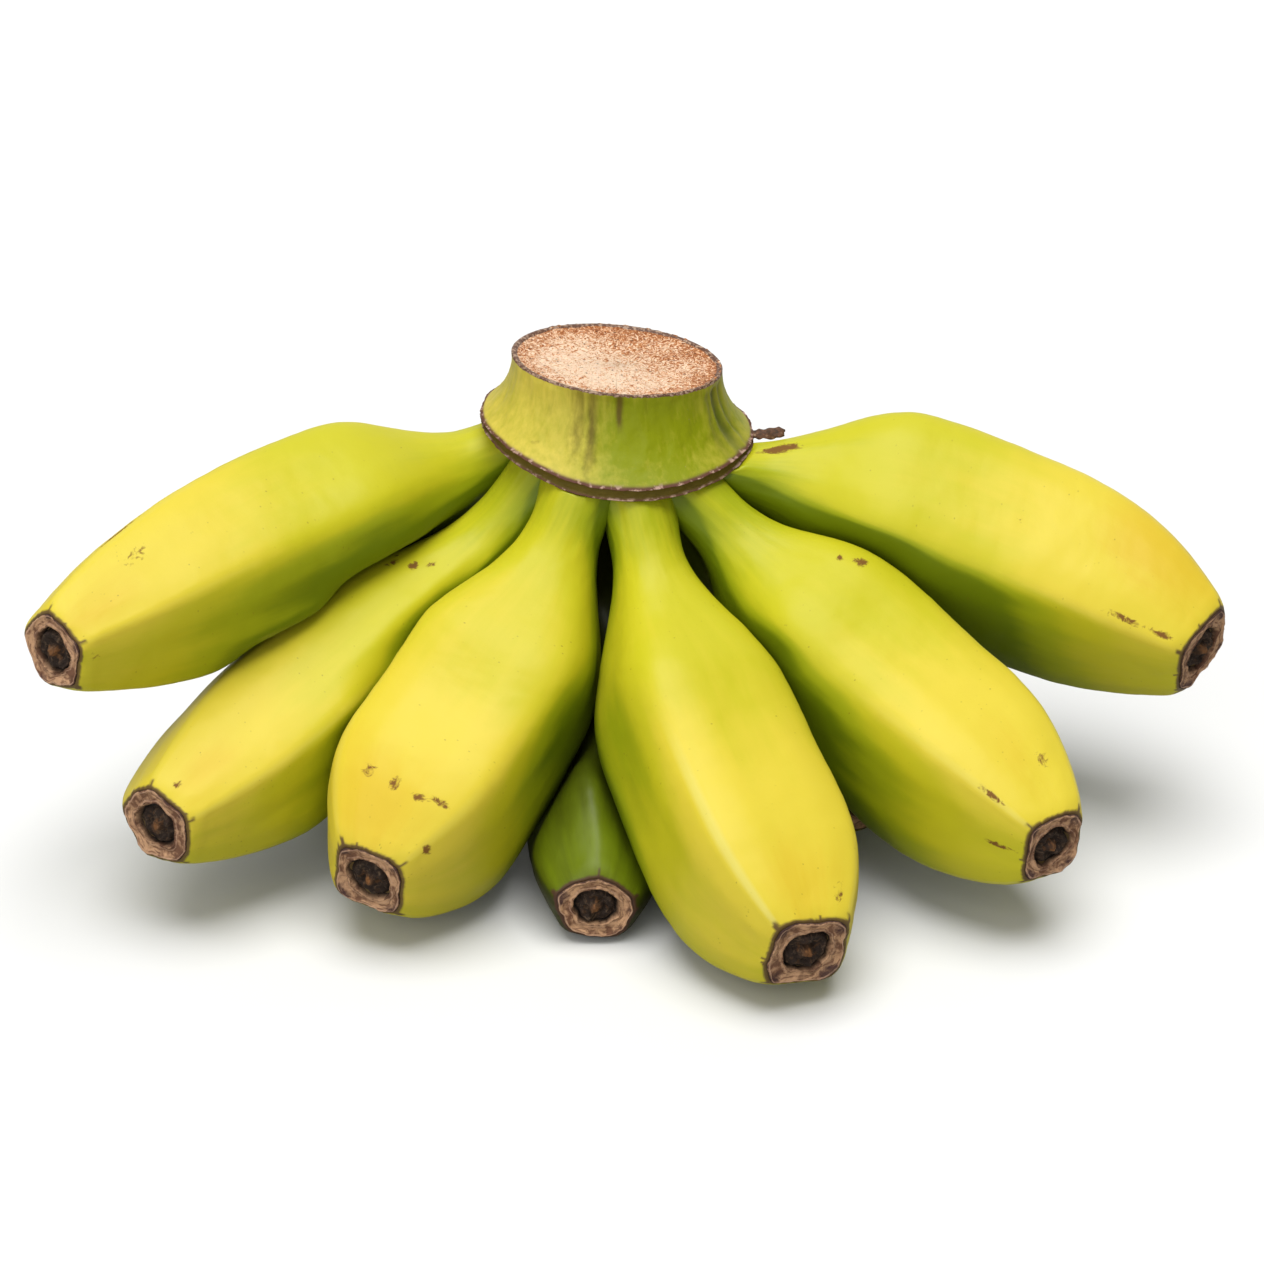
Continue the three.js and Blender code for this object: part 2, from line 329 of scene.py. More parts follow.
def roll_sheet(
    name: str, rings: np.ndarray, attributes: dict[str, np.ndarray], material: bpy.types.Material
) -> bpy.types.Object:
    """Rolls a flat grid into the closed skin that passes through rings, and closes it at both ends.

    Args:
        name: the new piece's name.
        rings: the rings, the first and last of which close to a point.
        attributes: a number or a place for each point, stored on the mesh for the material.
        material: the piece's material.

    Returns:
        The piece.
    """
    rows, columns = rings.shape[:2]
    mesh = bmesh.new()
    bmesh.ops.create_grid(mesh, x_segments=columns, y_segments=rows - 1, size=1)
    layers = {}
    for key, values in attributes.items():
        kind = mesh.verts.layers.float_vector if values.ndim == 3 else mesh.verts.layers.float
        layers[key] = kind.new(key)
    for vert in mesh.verts:
        row = round((vert.co.y + 1) / 2 * (rows - 1))
        column = round((vert.co.x + 1) / 2 * columns) % columns
        vert.co = rings[row, column]
        for key, values in attributes.items():
            value = values[row, column]
            vert[layers[key]] = Vector(value) if values.ndim == 3 else float(value)
    bmesh.ops.remove_doubles(mesh, verts=mesh.verts, dist=WELD)
    bmesh.ops.recalc_face_normals(mesh, faces=mesh.faces)
    for face in mesh.faces:
        face.smooth = True
    return finished_piece(name, mesh, material)


def finished_piece(name: str, mesh: bmesh.types.BMesh, material: bpy.types.Material) -> bpy.types.Object:
    """Makes an object of a mesh, with its material, and lets it ride on the hand.

    Args:
        name: the new piece's name.
        mesh: its mesh, which is used up.
        material: its material.

    Returns:
        The piece.
    """
    data = bpy.data.meshes.new(name)
    mesh.to_mesh(data)
    mesh.free()
    data.materials.append(material)
    piece = bpy.data.objects.new(name, data)
    bpy.context.scene.collection.objects.link(piece)
    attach(piece, BODY)
    LOG.info("%s: %d faces", name, len(data.polygons))
    return piece


# --------------------------------------------------------------------------------------------------------- finishes


@dataclass(frozen=True)
class PeelFinish:
    """Banana peel, waxy and satin, green where it has not turned and yellow where it has, with painted light on its
    tops and painted shade underneath.
    """

    name: str = "banana_peel"
    # The darkest green is painted shade: it shows where the value falls far below zero, on the finger that lies
    # under the others.
    painted_shade_green: str = "#313408"
    deep_green: str = "#687808"
    green: str = "#969e12"
    yellow_green: str = "#b8b21d"
    yellow: str = "#cdba36"
    ripe_yellow: str = "#caad2b"
    ridge_highlight_colour: str = "#cec670"
    blemish: str = "#673819"
    freckle: str = "#7a6818"
    dry_edge: str = "#4c3026"
    patch: float = 20 * MM
    streak: float = 2.38095 * MM
    freckle_gap: float = 1.6129 * MM
    freckled_patch: float = 10.5263 * MM
    squiggle: float = 1.92308 * MM
    pore: float = 0.714286 * MM
    swell: float = 6.25 * MM

    def make(self) -> bpy.types.Material:
        """Builds the material.

        Returns:
            A soft wax sheen over a drift from green to yellow that holds painted light on top and painted shade
            underneath, with a painted highlight along the ridges, freckles and scars.
        """
        # A grown skin under a thin natural wax: broad, quiet highlights, and light that sinks a little in.
        m = new_material(self.name)
        place = add_node(m, "Attribute", attribute_name="straight").outputs["Vector"]
        ripe_light_and_shade, paling, scar, stain = (
            add_node(m, "Attribute", attribute_name=key).outputs["Fac"]
            for key in ("ripe_light_and_shade", "paling", "scar", "stain")
        )
        # Ripening runs ahead in patches and in fine streaks, both drawn out along the finger.
        drawn_out = add_node(m, "Mapping", {"Vector": place, "Scale": (1, 1, 0.5)})
        patches = add_node(
            m, "TexNoise", {"Vector": drawn_out, "Scale": 1 / self.patch, "Detail": 3.0, "Roughness": 0.55}
        )
        stretched = add_node(m, "Mapping", {"Vector": place, "Scale": (1, 1, 0.12)})
        streaks = add_node(
            m, "TexNoise", {"Vector": stretched, "Scale": 1 / self.streak, "Detail": 3.0, "Roughness": 0.6}
        )
        # This value also carries the painted light on tops and the painted shade on undersides.
        ripeness_and_shade = ripe_light_and_shade
        for pattern, swing in ((patches, 0.09), (streaks, 0.035)):
            drift = add_node(m, "MapRange", {0: pattern, 1: 0.25, 2: 0.75, 3: -swing, 4: swing})
            ripeness_and_shade = add_node(m, "Math", {0: ripeness_and_shade, 1: drift}, operation="ADD")
        # The two darkest stops are reached mainly through painted shade: on shaded undersides and on the finger that
        # lies under the others.
        colour = linear(self.painted_shade_green)
        for low, high, shade in (
            (-0.6, -0.2, self.deep_green),
            (0.0, 0.25, self.green),
            (0.22, 0.5, self.yellow_green),
            (0.5, 0.78, self.yellow),
            (0.85, 1.1, self.ripe_yellow),
        ):
            share = add_node(m, "MapRange", {0: ripeness_and_shade, 1: low, 2: high}, interpolation_type="SMOOTHSTEP")
            colour = add_node(m, "Mix", {0: share, 6: colour, 7: linear(shade)}, data_type="RGBA").outputs[2]
        # Freckles a third of a millimetre across, only some of them shown, and gathered in patches.
        cells = add_node(m, "TexVoronoi", {"Vector": place, "Scale": 1 / self.freckle_gap, "Randomness": 1.0})
        where = add_node(m, "TexNoise", {"Vector": place, "Scale": 1 / self.freckled_patch, "Detail": 2.0})
        freckled = 0.6
        for pattern, none, full in (
            (cells.outputs["Distance"], 0.16, 0.07),
            (where, 0.48, 0.64),
            (cells.outputs["Color"], 0.45, 0.6),
        ):
            share = add_node(m, "MapRange", {0: pattern, 1: none, 2: full})
            freckled = add_node(m, "Math", {0: share, 1: freckled}, operation="MULTIPLY")
        # Scars are broken brown squiggles about a millimetre wide.
        squiggles = {"Vector": place, "Scale": 1 / self.squiggle, "Detail": 4.0, "Roughness": 0.65}
        wander = add_node(m, "TexNoise", {**squiggles, "Distortion": 1.2})
        raised = add_node(m, "Math", {0: scar, 1: 0.6, 2: wander}, operation="MULTIPLY_ADD")
        mark = add_node(m, "MapRange", {0: raised, 1: 0.84, 2: 1.02, 4: 0.92})
        # A pale painted highlight runs along the ridges, and the peel browns where it meets the blossom end.
        for share, shade in (
            (paling, self.ridge_highlight_colour),
            (freckled, self.freckle),
            (mark, self.blemish),
            (stain, self.dry_edge),
        ):
            colour = add_node(m, "Mix", {0: share, 6: colour, 7: linear(shade)}, data_type="RGBA").outputs[2]
        # The skin swells gently, and its pores break the sheen. Real pores are finer: these are drawn as
        # coarse as they need to show. Scars are duller than the wax.
        wide = add_node(m, "TexNoise", {"Vector": place, "Scale": 1 / self.swell, "Detail": 2.0})
        fine = add_node(m, "TexNoise", {"Vector": place, "Scale": 1 / self.pore, "Detail": 2.0})
        base = add_node(m, "Bump", {"Strength": 0.25, "Distance": 0.4 * MM, "Height": wide})
        bump = add_node(m, "Bump", {"Strength": 0.25, "Distance": 0.05 * MM, "Height": fine, "Normal": base})
        gloss = add_node(m, "MapRange", {0: patches, 1: 0.3, 2: 0.7, 3: 0.4, 4: 0.5})
        dull = add_node(m, "Math", {0: mark, 1: 0.3, 2: gloss}, operation="MULTIPLY_ADD")
        shader = add_node(
            m,
            "BsdfPrincipled",
            {
                "Base Color": colour,
                "Roughness": dull,
                "IOR": 1.45,
                "Specular IOR Level": 0.25,
                "Subsurface Weight": 0.12,
                "Subsurface Radius": (1.0, 0.8, 0.2),
                "Subsurface Scale": 2 * MM,
                "Coat Weight": 0.03,
                "Coat Roughness": 0.3,
                "Normal": bump,
            },
        )
        add_node(m, "OutputMaterial", {"Surface": shader})
        return m


@dataclass(frozen=True)
class BlossomFinish:
    """The dry blossom end: corky tan round the edge, and nearly black in the pit."""

    name: str = "dry_blossom_end"
    cork: str = "#be9572"
    cork_dark: str = "#714e3a"
    corner: str = "#3f282a"
    pale_line: str = "#bf9a80"
    seam: str = "#301d19"
    pit: str = "#2b1f18"
    crack: str = "#0a0604"
    crumb: str = "#76604b"
    amber: str = "#835730"
    grain: float = 1.11111 * MM
    blotch: float = 3.33333 * MM

    def make(self) -> bpy.types.Material:
        """Builds the material.

        Returns:
            A dull, cracked, corky surface without any gloss.
        """
        # Cork that has dried and shrunk: it scatters all light, and its cracks read as black lines.
        m = new_material(self.name)
        place, swirl = (
            add_node(m, "Attribute", attribute_name=key).outputs["Vector"] for key in ("straight", "swirl")
        )
        read = {
            key: add_node(m, "Attribute", attribute_name=key).outputs["Fac"]
            for key in ("depth", "edge", "corner", "pale", "crack", "heart")
        }
        grain = add_node(
            m,
            "TexNoise",
            {"Vector": place, "Scale": 1 / self.grain, "Detail": 5.0, "Roughness": 0.7, "Distortion": 0.6},
        )
        blotch = add_node(
            m, "TexNoise", {"Vector": place, "Scale": 1 / self.blotch, "Detail": 3.0, "Roughness": 0.6}
        )
        # Dried wrinkles run round the collar. The swirl already counts them, so its scale is one.
        wrinkle = add_node(
            m, "TexNoise", {"Vector": swirl, "Scale": 1.0, "Detail": 4.0, "Roughness": 0.6, "Distortion": 0.8}
        )
        dark = add_node(m, "MapRange", {0: blotch, 1: 0.47, 2: 0.62})
        creased = add_node(m, "MapRange", {0: wrinkle, 1: 0.52, 2: 0.64, 4: 0.8})
        fleck = add_node(m, "MapRange", {0: grain, 1: 0.5, 2: 0.75, 4: 0.6})
        # The corners are bruised purple, and a fine pale line runs inside the dark edge. All are ragged.
        wavy = add_node(m, "Math", {0: grain, 1: 1.2, 2: -0.6}, operation="MULTIPLY_ADD")
        ragged = {}
        for key, none, full, most in (
            ("corner", 0.3, 0.9, 0.9),
            ("pale", 0.5, 0.95, 0.75),
            ("edge", 0.35, 0.75, 0.9),
        ):
            uneven = add_node(m, "Math", {0: read[key], 1: wavy}, operation="ADD")
            ragged[key] = add_node(m, "MapRange", {0: uneven, 1: none, 2: full, 4: most})
        # The pit: a black crack round lumps with lit crumbs and an amber heart.
        crumbs = add_node(m, "MapRange", {0: grain, 1: 0.52, 2: 0.7, 4: 0.6})
        lit = add_node(m, "Math", {0: crumbs, 1: read["depth"]}, operation="MULTIPLY")
        colour = linear(self.cork)
        for share, shade in (
            (dark, self.cork_dark),
            (creased, self.cork_dark),
            (fleck, self.cork_dark),
            (ragged["corner"], self.corner),
            (ragged["pale"], self.pale_line),
            (ragged["edge"], self.seam),
            (read["depth"], self.pit),
            (lit, self.crumb),
            (read["heart"], self.amber),
            (read["crack"], self.crack),
        ):
            colour = add_node(m, "Mix", {0: share, 6: colour, 7: linear(shade)}, data_type="RGBA").outputs[2]
        relief = add_node(m, "Math", {0: grain, 1: creased}, operation="SUBTRACT")
        bump = add_node(m, "Bump", {"Strength": 0.7, "Distance": 0.3 * MM, "Height": relief})
        shader = add_node(
            m,
            "BsdfPrincipled",
            {"Base Color": colour, "Roughness": 0.75, "IOR": 1.45, "Specular IOR Level": 0.3, "Normal": bump},
        )
        add_node(m, "OutputMaterial", {"Surface": shader})
        return m


@dataclass(frozen=True)
class CrownFinish:
    """The skin of the crown: green to yellow, bruised brown under the cut and ringed by the bract's scar."""

    name: str = "crown_skin"
    green: str = "#7f8706"
    yellow: str = "#c8b64a"
    painted_fold_shade: str = "#424c14"
    bruise: str = "#543d14"
    scar: str = "#5a4c16"
    lip: str = "#59382c"
    lip_crumb: str = "#b89988"
    torn_rim: str = "#5c3f31"
    rim_crumb: str = "#a78d77"
    fibre: float = 1.42857 * MM
    patch: float = 7.6923 * MM
    grain: float = 0.90909 * MM
    dash: float = 1.92308 * MM

    def make(self) -> bpy.types.Material:
        """Builds the material.

        Returns:
            A satin skin with dark streaks that hang from the rim, and a rough brown scar with pale edges.
        """
        # The stalk's skin is peel over upright fibres: satin and faintly ribbed, but dull at its scar.
        m = new_material(self.name)
        place = add_node(m, "TexCoord").outputs["Object"]
        read = {
            key: add_node(m, "Attribute", attribute_name=key).outputs["Fac"]
            for key in ("green", "bruise", "band", "lip", "rim", "fold")
        }
        upright = add_node(m, "Mapping", {"Vector": place, "Scale": (1, 1, 0.14)})
        fibres, patches, grain, dashes = (
            add_node(m, "TexNoise", {"Vector": at, "Scale": 1 / size, "Detail": detail, "Roughness": rough})
            for at, size, detail, rough in (
                (upright, self.fibre, 4.0, 0.6),
                (place, self.patch, 4.0, 0.6),
                (place, self.grain, 4.0, 0.7),
                (place, self.dash, 3.0, 0.6),
            )
        )
        greenness = read["green"]
        for pattern, swing in ((patches, 0.1), (fibres, 0.13)):
            drift = add_node(m, "MapRange", {0: pattern, 1: 0.3, 2: 0.7, 3: -swing, 4: swing})
            greenness = add_node(m, "Math", {0: greenness, 1: drift}, operation="ADD")
        green = add_node(m, "MapRange", {0: greenness, 1: 0.1, 2: 0.9})
        # Bruises: soft at their sides and broken into upright fibres.
        broken = add_node(m, "Math", {0: fibres, 1: 0.9, 2: -0.45}, operation="MULTIPLY_ADD")
        spread = add_node(m, "Math", {0: read["bruise"], 1: broken}, operation="ADD")
        bruised = add_node(m, "MapRange", {0: spread, 1: 0.3, 2: 0.95, 4: 0.85})
        held = add_node(m, "Math", {0: bruised, 1: read["bruise"]}, operation="MULTIPLY")
        # The scar: a dark band between two raised lips, whose worn tops show pale.
        paling = add_node(m, "MapRange", {0: dashes, 1: 0.52, 2: 0.62, 4: 0.75})
        worn_lip = add_node(m, "Math", {0: paling, 1: read["lip"]}, operation="MULTIPLY")
        # The rim is torn, with pale crumbs on brown.
        jag = add_node(m, "Math", {0: grain, 1: 2.0, 2: -1.0}, operation="MULTIPLY_ADD")
        torn = add_node(m, "Math", {0: read["rim"], 1: jag}, operation="ADD")
        edge = add_node(m, "MapRange", {0: torn, 1: 0.4, 2: 0.6})
        crumbs = add_node(m, "MapRange", {0: grain, 1: 0.5, 2: 0.57, 4: 0.9})
        lit = add_node(m, "Math", {0: crumbs, 1: edge}, operation="MULTIPLY")
        # The folds get a darker green: painted shade in the creases.
        colour = linear(self.yellow)
        for share, shade in (
            (green, self.green),
            (read["fold"], self.painted_fold_shade),
            (held, self.bruise),
            (read["band"], self.scar),
            (read["lip"], self.lip),
            (worn_lip, self.lip_crumb),
            (edge, self.torn_rim),
            (lit, self.rim_crumb),
        ):
            colour = add_node(m, "Mix", {0: share, 6: colour, 7: linear(shade)}, data_type="RGBA").outputs[2]
        height = add_node(m, "Math", {0: grain, 1: fibres}, operation="ADD")
        bump = add_node(m, "Bump", {"Strength": 0.2, "Distance": 0.2 * MM, "Height": height})
        roughness = add_node(m, "MapRange", {0: read["band"], 3: 0.46, 4: 0.68})
        shader = add_node(
            m,
            "BsdfPrincipled",
            {
                "Base Color": colour,
                "Roughness": roughness,
                "IOR": 1.45,
                "Specular IOR Level": 0.22,
                "Subsurface Weight": 0.05,
                "Subsurface Radius": (1.0, 0.8, 0.2),
                "Subsurface Scale": 2 * MM,
                "Normal": bump,
            },
        )
        add_node(m, "OutputMaterial", {"Surface": shader})
        return m


@dataclass(frozen=True)
class CutFinish:
    """The cut face of the crown: pale, moist fibres that have browned towards the back and the right."""

    name: str = "cut_crown_flesh"
    fresh: str = "#e4c9ac"
    tan: str = "#c48048"
    brown: str = "#84461a"
    dot: str = "#4d2a16"
    rim: str = "#5c3f31"
    rim_crumb: str = "#b69a7f"
    mottle: float = 1.6129 * MM
    cloud: float = 8.33333 * MM
    dot_gap: float = 1.6129 * MM
    grain: float = 0.666667 * MM

    def make(self) -> bpy.types.Material:
        """Builds the material.

        Returns:
            A damp, fibrous cream that mottles to tan, dotted with brown and edged by a dark, dried line.
        """
        # Flesh cut with a knife: wet fibres that catch the light, and starch that has browned in the air.
        m = new_material(self.name)
        place = add_node(m, "TexCoord").outputs["Object"]
        fan = add_node(m, "Attribute", attribute_name="fan").outputs["Vector"]
        tan, rim = (add_node(m, "Attribute", attribute_name=key).outputs["Fac"] for key in ("tan", "rim"))
        # The fan already counts the fibres, so its scale is one.
        mottle, cloud, fibres, grain = (
            add_node(
                m,
                "TexNoise",
                {"Vector": at, "Scale": scale, "Detail": 3.0, "Roughness": roughness, "Distortion": swirl},
            )
            for at, scale, roughness, swirl in (
                (place, 1 / self.mottle, 0.6, 3.5),
                (place, 1 / self.cloud, 0.6, 0.0),
                (fan, 1.0, 0.6, 0.0),
                (place, 1 / self.grain, 0.7, 0.0),
            )
        )
        browning = tan
        for pattern, swing in ((cloud, 0.3), (mottle, 1.3), (fibres, 0.25)):
            drift = add_node(m, "MapRange", {0: pattern, 1: 0.3, 2: 0.7, 3: -swing, 4: swing})
            browning = add_node(m, "Math", {0: browning, 1: drift}, operation="ADD")
        tanned = add_node(m, "MapRange", {0: browning, 1: 0.05, 2: 0.75})
        deep = add_node(m, "MapRange", {0: browning, 1: 0.66, 2: 1.2, 4: 0.9})
        # Brown dots mark the ends of the larger fibres.
        cells = add_node(m, "TexVoronoi", {"Vector": place, "Scale": 1 / self.dot_gap, "Randomness": 1.0})
        dots = add_node(m, "MapRange", {0: cells.outputs["Distance"], 1: 0.22, 2: 0.12})
        chosen = add_node(m, "MapRange", {0: cells.outputs["Color"], 1: 0.5, 2: 0.6, 4: 0.8})
        few = add_node(m, "Math", {0: dots, 1: chosen}, operation="MULTIPLY")
        # The rim has dried to a torn dark line with pale crumbs.
        jag = add_node(m, "Math", {0: mottle, 1: 2.0, 2: -1.0}, operation="MULTIPLY_ADD")
        torn = add_node(m, "Math", {0: rim, 1: jag}, operation="ADD")
        edge = add_node(m, "MapRange", {0: torn, 1: 0.42, 2: 0.6})
        crumbs = add_node(m, "MapRange", {0: grain, 1: 0.48, 2: 0.56, 4: 0.9})
        lit = add_node(m, "Math", {0: crumbs, 1: edge}, operation="MULTIPLY")
        colour = linear(self.fresh)
        for share, shade in (
            (tanned, self.tan),
            (deep, self.brown),
            (few, self.dot),
            (edge, self.rim),
            (lit, self.rim_crumb),
        ):
            colour = add_node(m, "Mix", {0: share, 6: colour, 7: linear(shade)}, data_type="RGBA").outputs[2]
        height = add_node(m, "Math", {0: mottle, 1: fibres}, operation="ADD")
        bump = add_node(m, "Bump", {"Strength": 0.8, "Distance": 0.5 * MM, "Height": height})
        shader = add_node(
            m,
            "BsdfPrincipled",
            {
                "Base Color": colour,
                "Roughness": 0.55,
                "IOR": 1.4,
                "Specular IOR Level": 0.35,
                "Subsurface Weight": 0.15,
                "Subsurface Radius": (1.0, 0.6, 0.35),
                "Subsurface Scale": 1.5 * MM,
                "Normal": bump,
            },
        )
        add_node(m, "OutputMaterial", {"Surface": shader})
        return m


@dataclass(frozen=True)
class BractFinish:
    """The dried scrap of bract: brown, papery and ribbed."""

    name: str = "dried_bract"
    brown: str = "#603d26"
    dark: str = "#312212"
    pale: str = "#998366"
    grain: float = 1.11111 * MM

    def make(self) -> bpy.types.Material:
        """Builds the material.

        Returns:
            A dull brown that is darker in its folds and paler along its torn edge.
        """
        # A leaf that has dried to paper: quite matt, with dark and pale fibres side by side.
        m = new_material(self.name)
        place = add_node(m, "TexCoord").outputs["Object"]
        grain = add_node(
            m, "TexNoise", {"Vector": place, "Scale": 1 / self.grain, "Detail": 5.0, "Roughness": 0.7}
        )
        papery = add_node(m, "MapRange", {0: grain, 1: 0.38, 2: 0.6})
        paling = add_node(m, "MapRange", {0: grain, 1: 0.6, 2: 0.72, 4: 0.7})
        colour = linear(self.dark)
        for share, shade in ((papery, self.brown), (paling, self.pale)):
            colour = add_node(m, "Mix", {0: share, 6: colour, 7: linear(shade)}, data_type="RGBA").outputs[2]
        bump = add_node(m, "Bump", {"Strength": 0.6, "Distance": 0.3 * MM, "Height": grain})
        shader = add_node(m, "BsdfPrincipled", {"Base Color": colour, "Roughness": 0.8, "Normal": bump})
        add_node(m, "OutputMaterial", {"Surface": shader})
        return m


# ------------------------------------------------------------------------------------------------------------ crown


@dataclass(frozen=True)
class Streak:
    """A bruise that hangs from the crown's rim: where it is round the crown, and how wide, long and dark.

    Its angle and width are in degrees, 0 at the front, and its drop is a share of the wall's height.
    """

    angle: float
    width: float
    drop: float
    strength: float


class Zone(Enum):
    """The zones of the crown's skin, from the bottom up."""

    UNDERSIDE = auto()
    SCAR = auto()
    WALL = auto()
    RIM = auto()


@dataclass
class Crown:
    """The cut stub of the stalk: its wall, the bract's scar under it, and the cut face on top."""

    top: float = 105 * MM
    cut_half_width: float = 24 * MM
    cut_half_depth: float = 19.5 * MM
    dish: float = 1.2 * MM
    roll: float = math.radians(5.3)
    scar_half_width: float = 31 * MM
    scar_half_depth: float = 29 * MM
    scar_drop: float = 13.6 * MM
    scar_front_dip: float = 5 * MM
    scar_band: float = 3 * MM
    scar_lip: float = 0.6 * MM
    scar_waver: float = 0.35 * MM
    under: float = 8 * MM
    neck_slope: float = 40 * MM
    flare: float = 2.3
    fold_depth: float = 1.2 * MM
    fibres_round: int = 130
    fibres_out: int = 9
    columns: int = 400
    under_rows: int = 26
    scar_rows: int = 34
    wall_rows: int = 84
    face_rows: int = 84
    streaks: tuple[Streak, ...] = (
        Streak(-13, 4.5, 1.35, 0.85),
        Streak(-20, 8.0, 1.15, 0.75),
        Streak(-36, 6.0, 0.8, 0.35),
        Streak(1.5, 3.0, 0.62, 1.0),
        Streak(-5, 3.0, 0.3, 0.45),
        Streak(16, 3.2, 0.42, 0.5),
        Streak(31, 1.8, 0.2, 0.5),
        Streak(-27, 2.6, 0.24, 0.5),
        Streak(-43, 3.0, 0.2, 0.4),
        Streak(52, 2.4, 0.3, 0.5),
        Streak(96, 4.0, 0.45, 0.7),
        Streak(131, 3.0, 0.35, 0.8),
        Streak(168, 5.0, 0.55, 0.8),
        Streak(205, 3.0, 0.3, 0.7),
        Streak(247, 4.0, 0.5, 0.7),
        Streak(280, 2.5, 0.3, 0.6),
    )
    folds: tuple[tuple[float, float, float], ...] = (
        (58, 3.5, 0.4), (67, 4.5, 0.8), (77, 3.5, 0.5), (142, 4.4, 0.5), (183, 4.0, 0.4), (221, 4.4, 0.5),
    )

    def middle(self) -> Vector:
        """The crown's axis, a little above the necks."""
        low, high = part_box("crown")
        return Vector(((low.x + high.x) / 2, (low.y + high.y) / 2, low.z))

    def _place(self, half_width: np.ndarray, half_depth: np.ndarray, z: np.ndarray) -> np.ndarray:
        """Turns the half sizes and height of rows into places. The front is where the angle is 0.

        Args:
            half_width: half the crown's width at each row.
            half_depth: half its depth there.
            z: its height at each row and column.

        Returns:
            A place for each row and column.
        """
        middle = self.middle()
        a = turns(self.columns)[None, :]
        x = middle.x + half_width * np.sin(a)
        y = middle.y - half_depth * np.cos(a)
        return np.stack([x, y, z + 0 * x], axis=2)

    def _scar_foot(self) -> np.ndarray:
        """Works out how high the scar's lower edge runs.

        Returns:
            The height at each column.
        """
        a = turns(self.columns)
        dip = self.scar_front_dip * np.maximum(0, np.cos(a)) ** 2
        drop = self.scar_half_width * np.sin(a) * math.tan(self.roll)
        return self.top - self.scar_drop - self.scar_band - dip - drop

    def ceiling(self, points: np.ndarray) -> np.ndarray:
        """Works out how high the necks may reach, so that the scar overhangs them.

        Args:
            points: places on a neck.

        Returns:
            The highest z allowed at each place.
        """
        middle = self.middle()
        across = (points[..., 0] - middle.x) / self.scar_half_width
        ahead = (middle.y - points[..., 1]) / self.scar_half_depth
        reach = np.hypot(across, ahead)
        angle = np.arctan2(across, ahead) % (2 * math.pi)
        columns = np.append(turns(self.columns), 2 * math.pi)
        foot = np.interp(angle, columns, np.append(self._scar_foot(), self._scar_foot()[0]))
        under = foot + (1.2 - 1.4 * smooth(reach, 0.9, 0.99)) * MM
        return under + np.maximum(0, reach - 1.02) * self.neck_slope

    def build(self, skin: bpy.types.Material, cut: bpy.types.Material) -> None:
        """Builds the crown's two pieces.

        Args:
            skin: the crown's skin.
            cut: the cut flesh.
        """
        wall = self._wall(skin)
        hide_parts("crown")
        face = self._cut_face(cut)

    def _wall(self, material: bpy.types.Material) -> bpy.types.Object:
        """Builds the crown's rounded underside, its scar and the wall up to the rim.

        Args:
            material: the crown's skin.

        Returns:
            The piece.
        """
        a = turns(self.columns)[None, :]
        foot = self._scar_foot()[None, :]
        band = self.scar_band * (0.5 + 0.5 * smooth(np.cos(a), 0.1, 0.75))
        bottom = self.top - self.scar_drop - self.scar_band - self.under
        one = np.ones_like(a)
        # The underside.
        under = np.concatenate([[0.0], np.linspace(0.08, 0.985, self.under_rows)])[:, None]
        under_rings = self._place(
            under * self.scar_half_width * one,
            under * self.scar_half_depth * one,
            bottom + (foot - bottom) * under**2,
        )
        # The scar: two lips with a sunk band between them. Its run is a little uneven.
        up = np.linspace(0, 1, self.scar_rows)[:, None]
        lip_low = bell(up - 0.1, 0.09)
        lip_high = bell(up - 0.92, 0.07)
        waver = fractal(np.stack([np.sin(a[0]), np.cos(a[0]), 0 * a[0]], axis=1), 0.35, 3)[None, :]
        proud = self.scar_lip * (lip_low + 0.8 * lip_high - 0.5) * (1 + 0.35 * waver)
        front = 0.75 + 0.25 * np.cos(a)
        scar_rings = self._place(
            self.scar_half_width + proud * one,
            self.scar_half_depth + proud * one,
            foot + up * band + self.scar_waver * waver * front,
        )
        # The wall, which flares down to the scar.
        rise = np.linspace(0.02, 1, self.wall_rows)[:, None]
        bow = (1 - rise) ** self.flare
        inset = 0.3 * self.scar_lip
        half_width = self.cut_half_width + (self.scar_half_width - inset - self.cut_half_width) * bow
        half_depth = self.cut_half_depth + (self.scar_half_depth - inset - self.cut_half_depth) * bow
        rim_z = self.top - self.cut_half_width * np.sin(a) * math.tan(self.roll)
        wall_foot = foot + band + self.scar_waver * waver * front
        wall_rings = self._place(half_width * one, half_depth * one, wall_foot + (rim_z - wall_foot) * rise)
        # The rim rolls over to the cut face, and a floor under the face closes the piece.
        inner = np.array([0.985, 0.95, 0.9, 0.0])[:, None]
        sink = np.array([0.25, 0.1, -1.6, -3.5])[:, None] * MM
        top_rings = self._place(
            inner * self.cut_half_width * one,
            inner * self.cut_half_depth * one,
            self.top - inner * self.cut_half_width * np.sin(a) * math.tan(self.roll) + sink,
        )
        parts = dict(zip(Zone, (under_rings, scar_rings, wall_rings, top_rings)))
        rings = np.concatenate(list(parts.values()))
        ends = np.cumsum([len(part) for part in parts.values()])
        rows = {zone: slice(end - len(part), end) for (zone, part), end in zip(parts.items(), ends)}
        drop = 1 - rise
        masks = self._masks(rings, rows, drop, up)
        rings = self._relief(rings, rows, drop, masks["fold"])
        return roll_sheet("crown_wall", rings, masks, material)

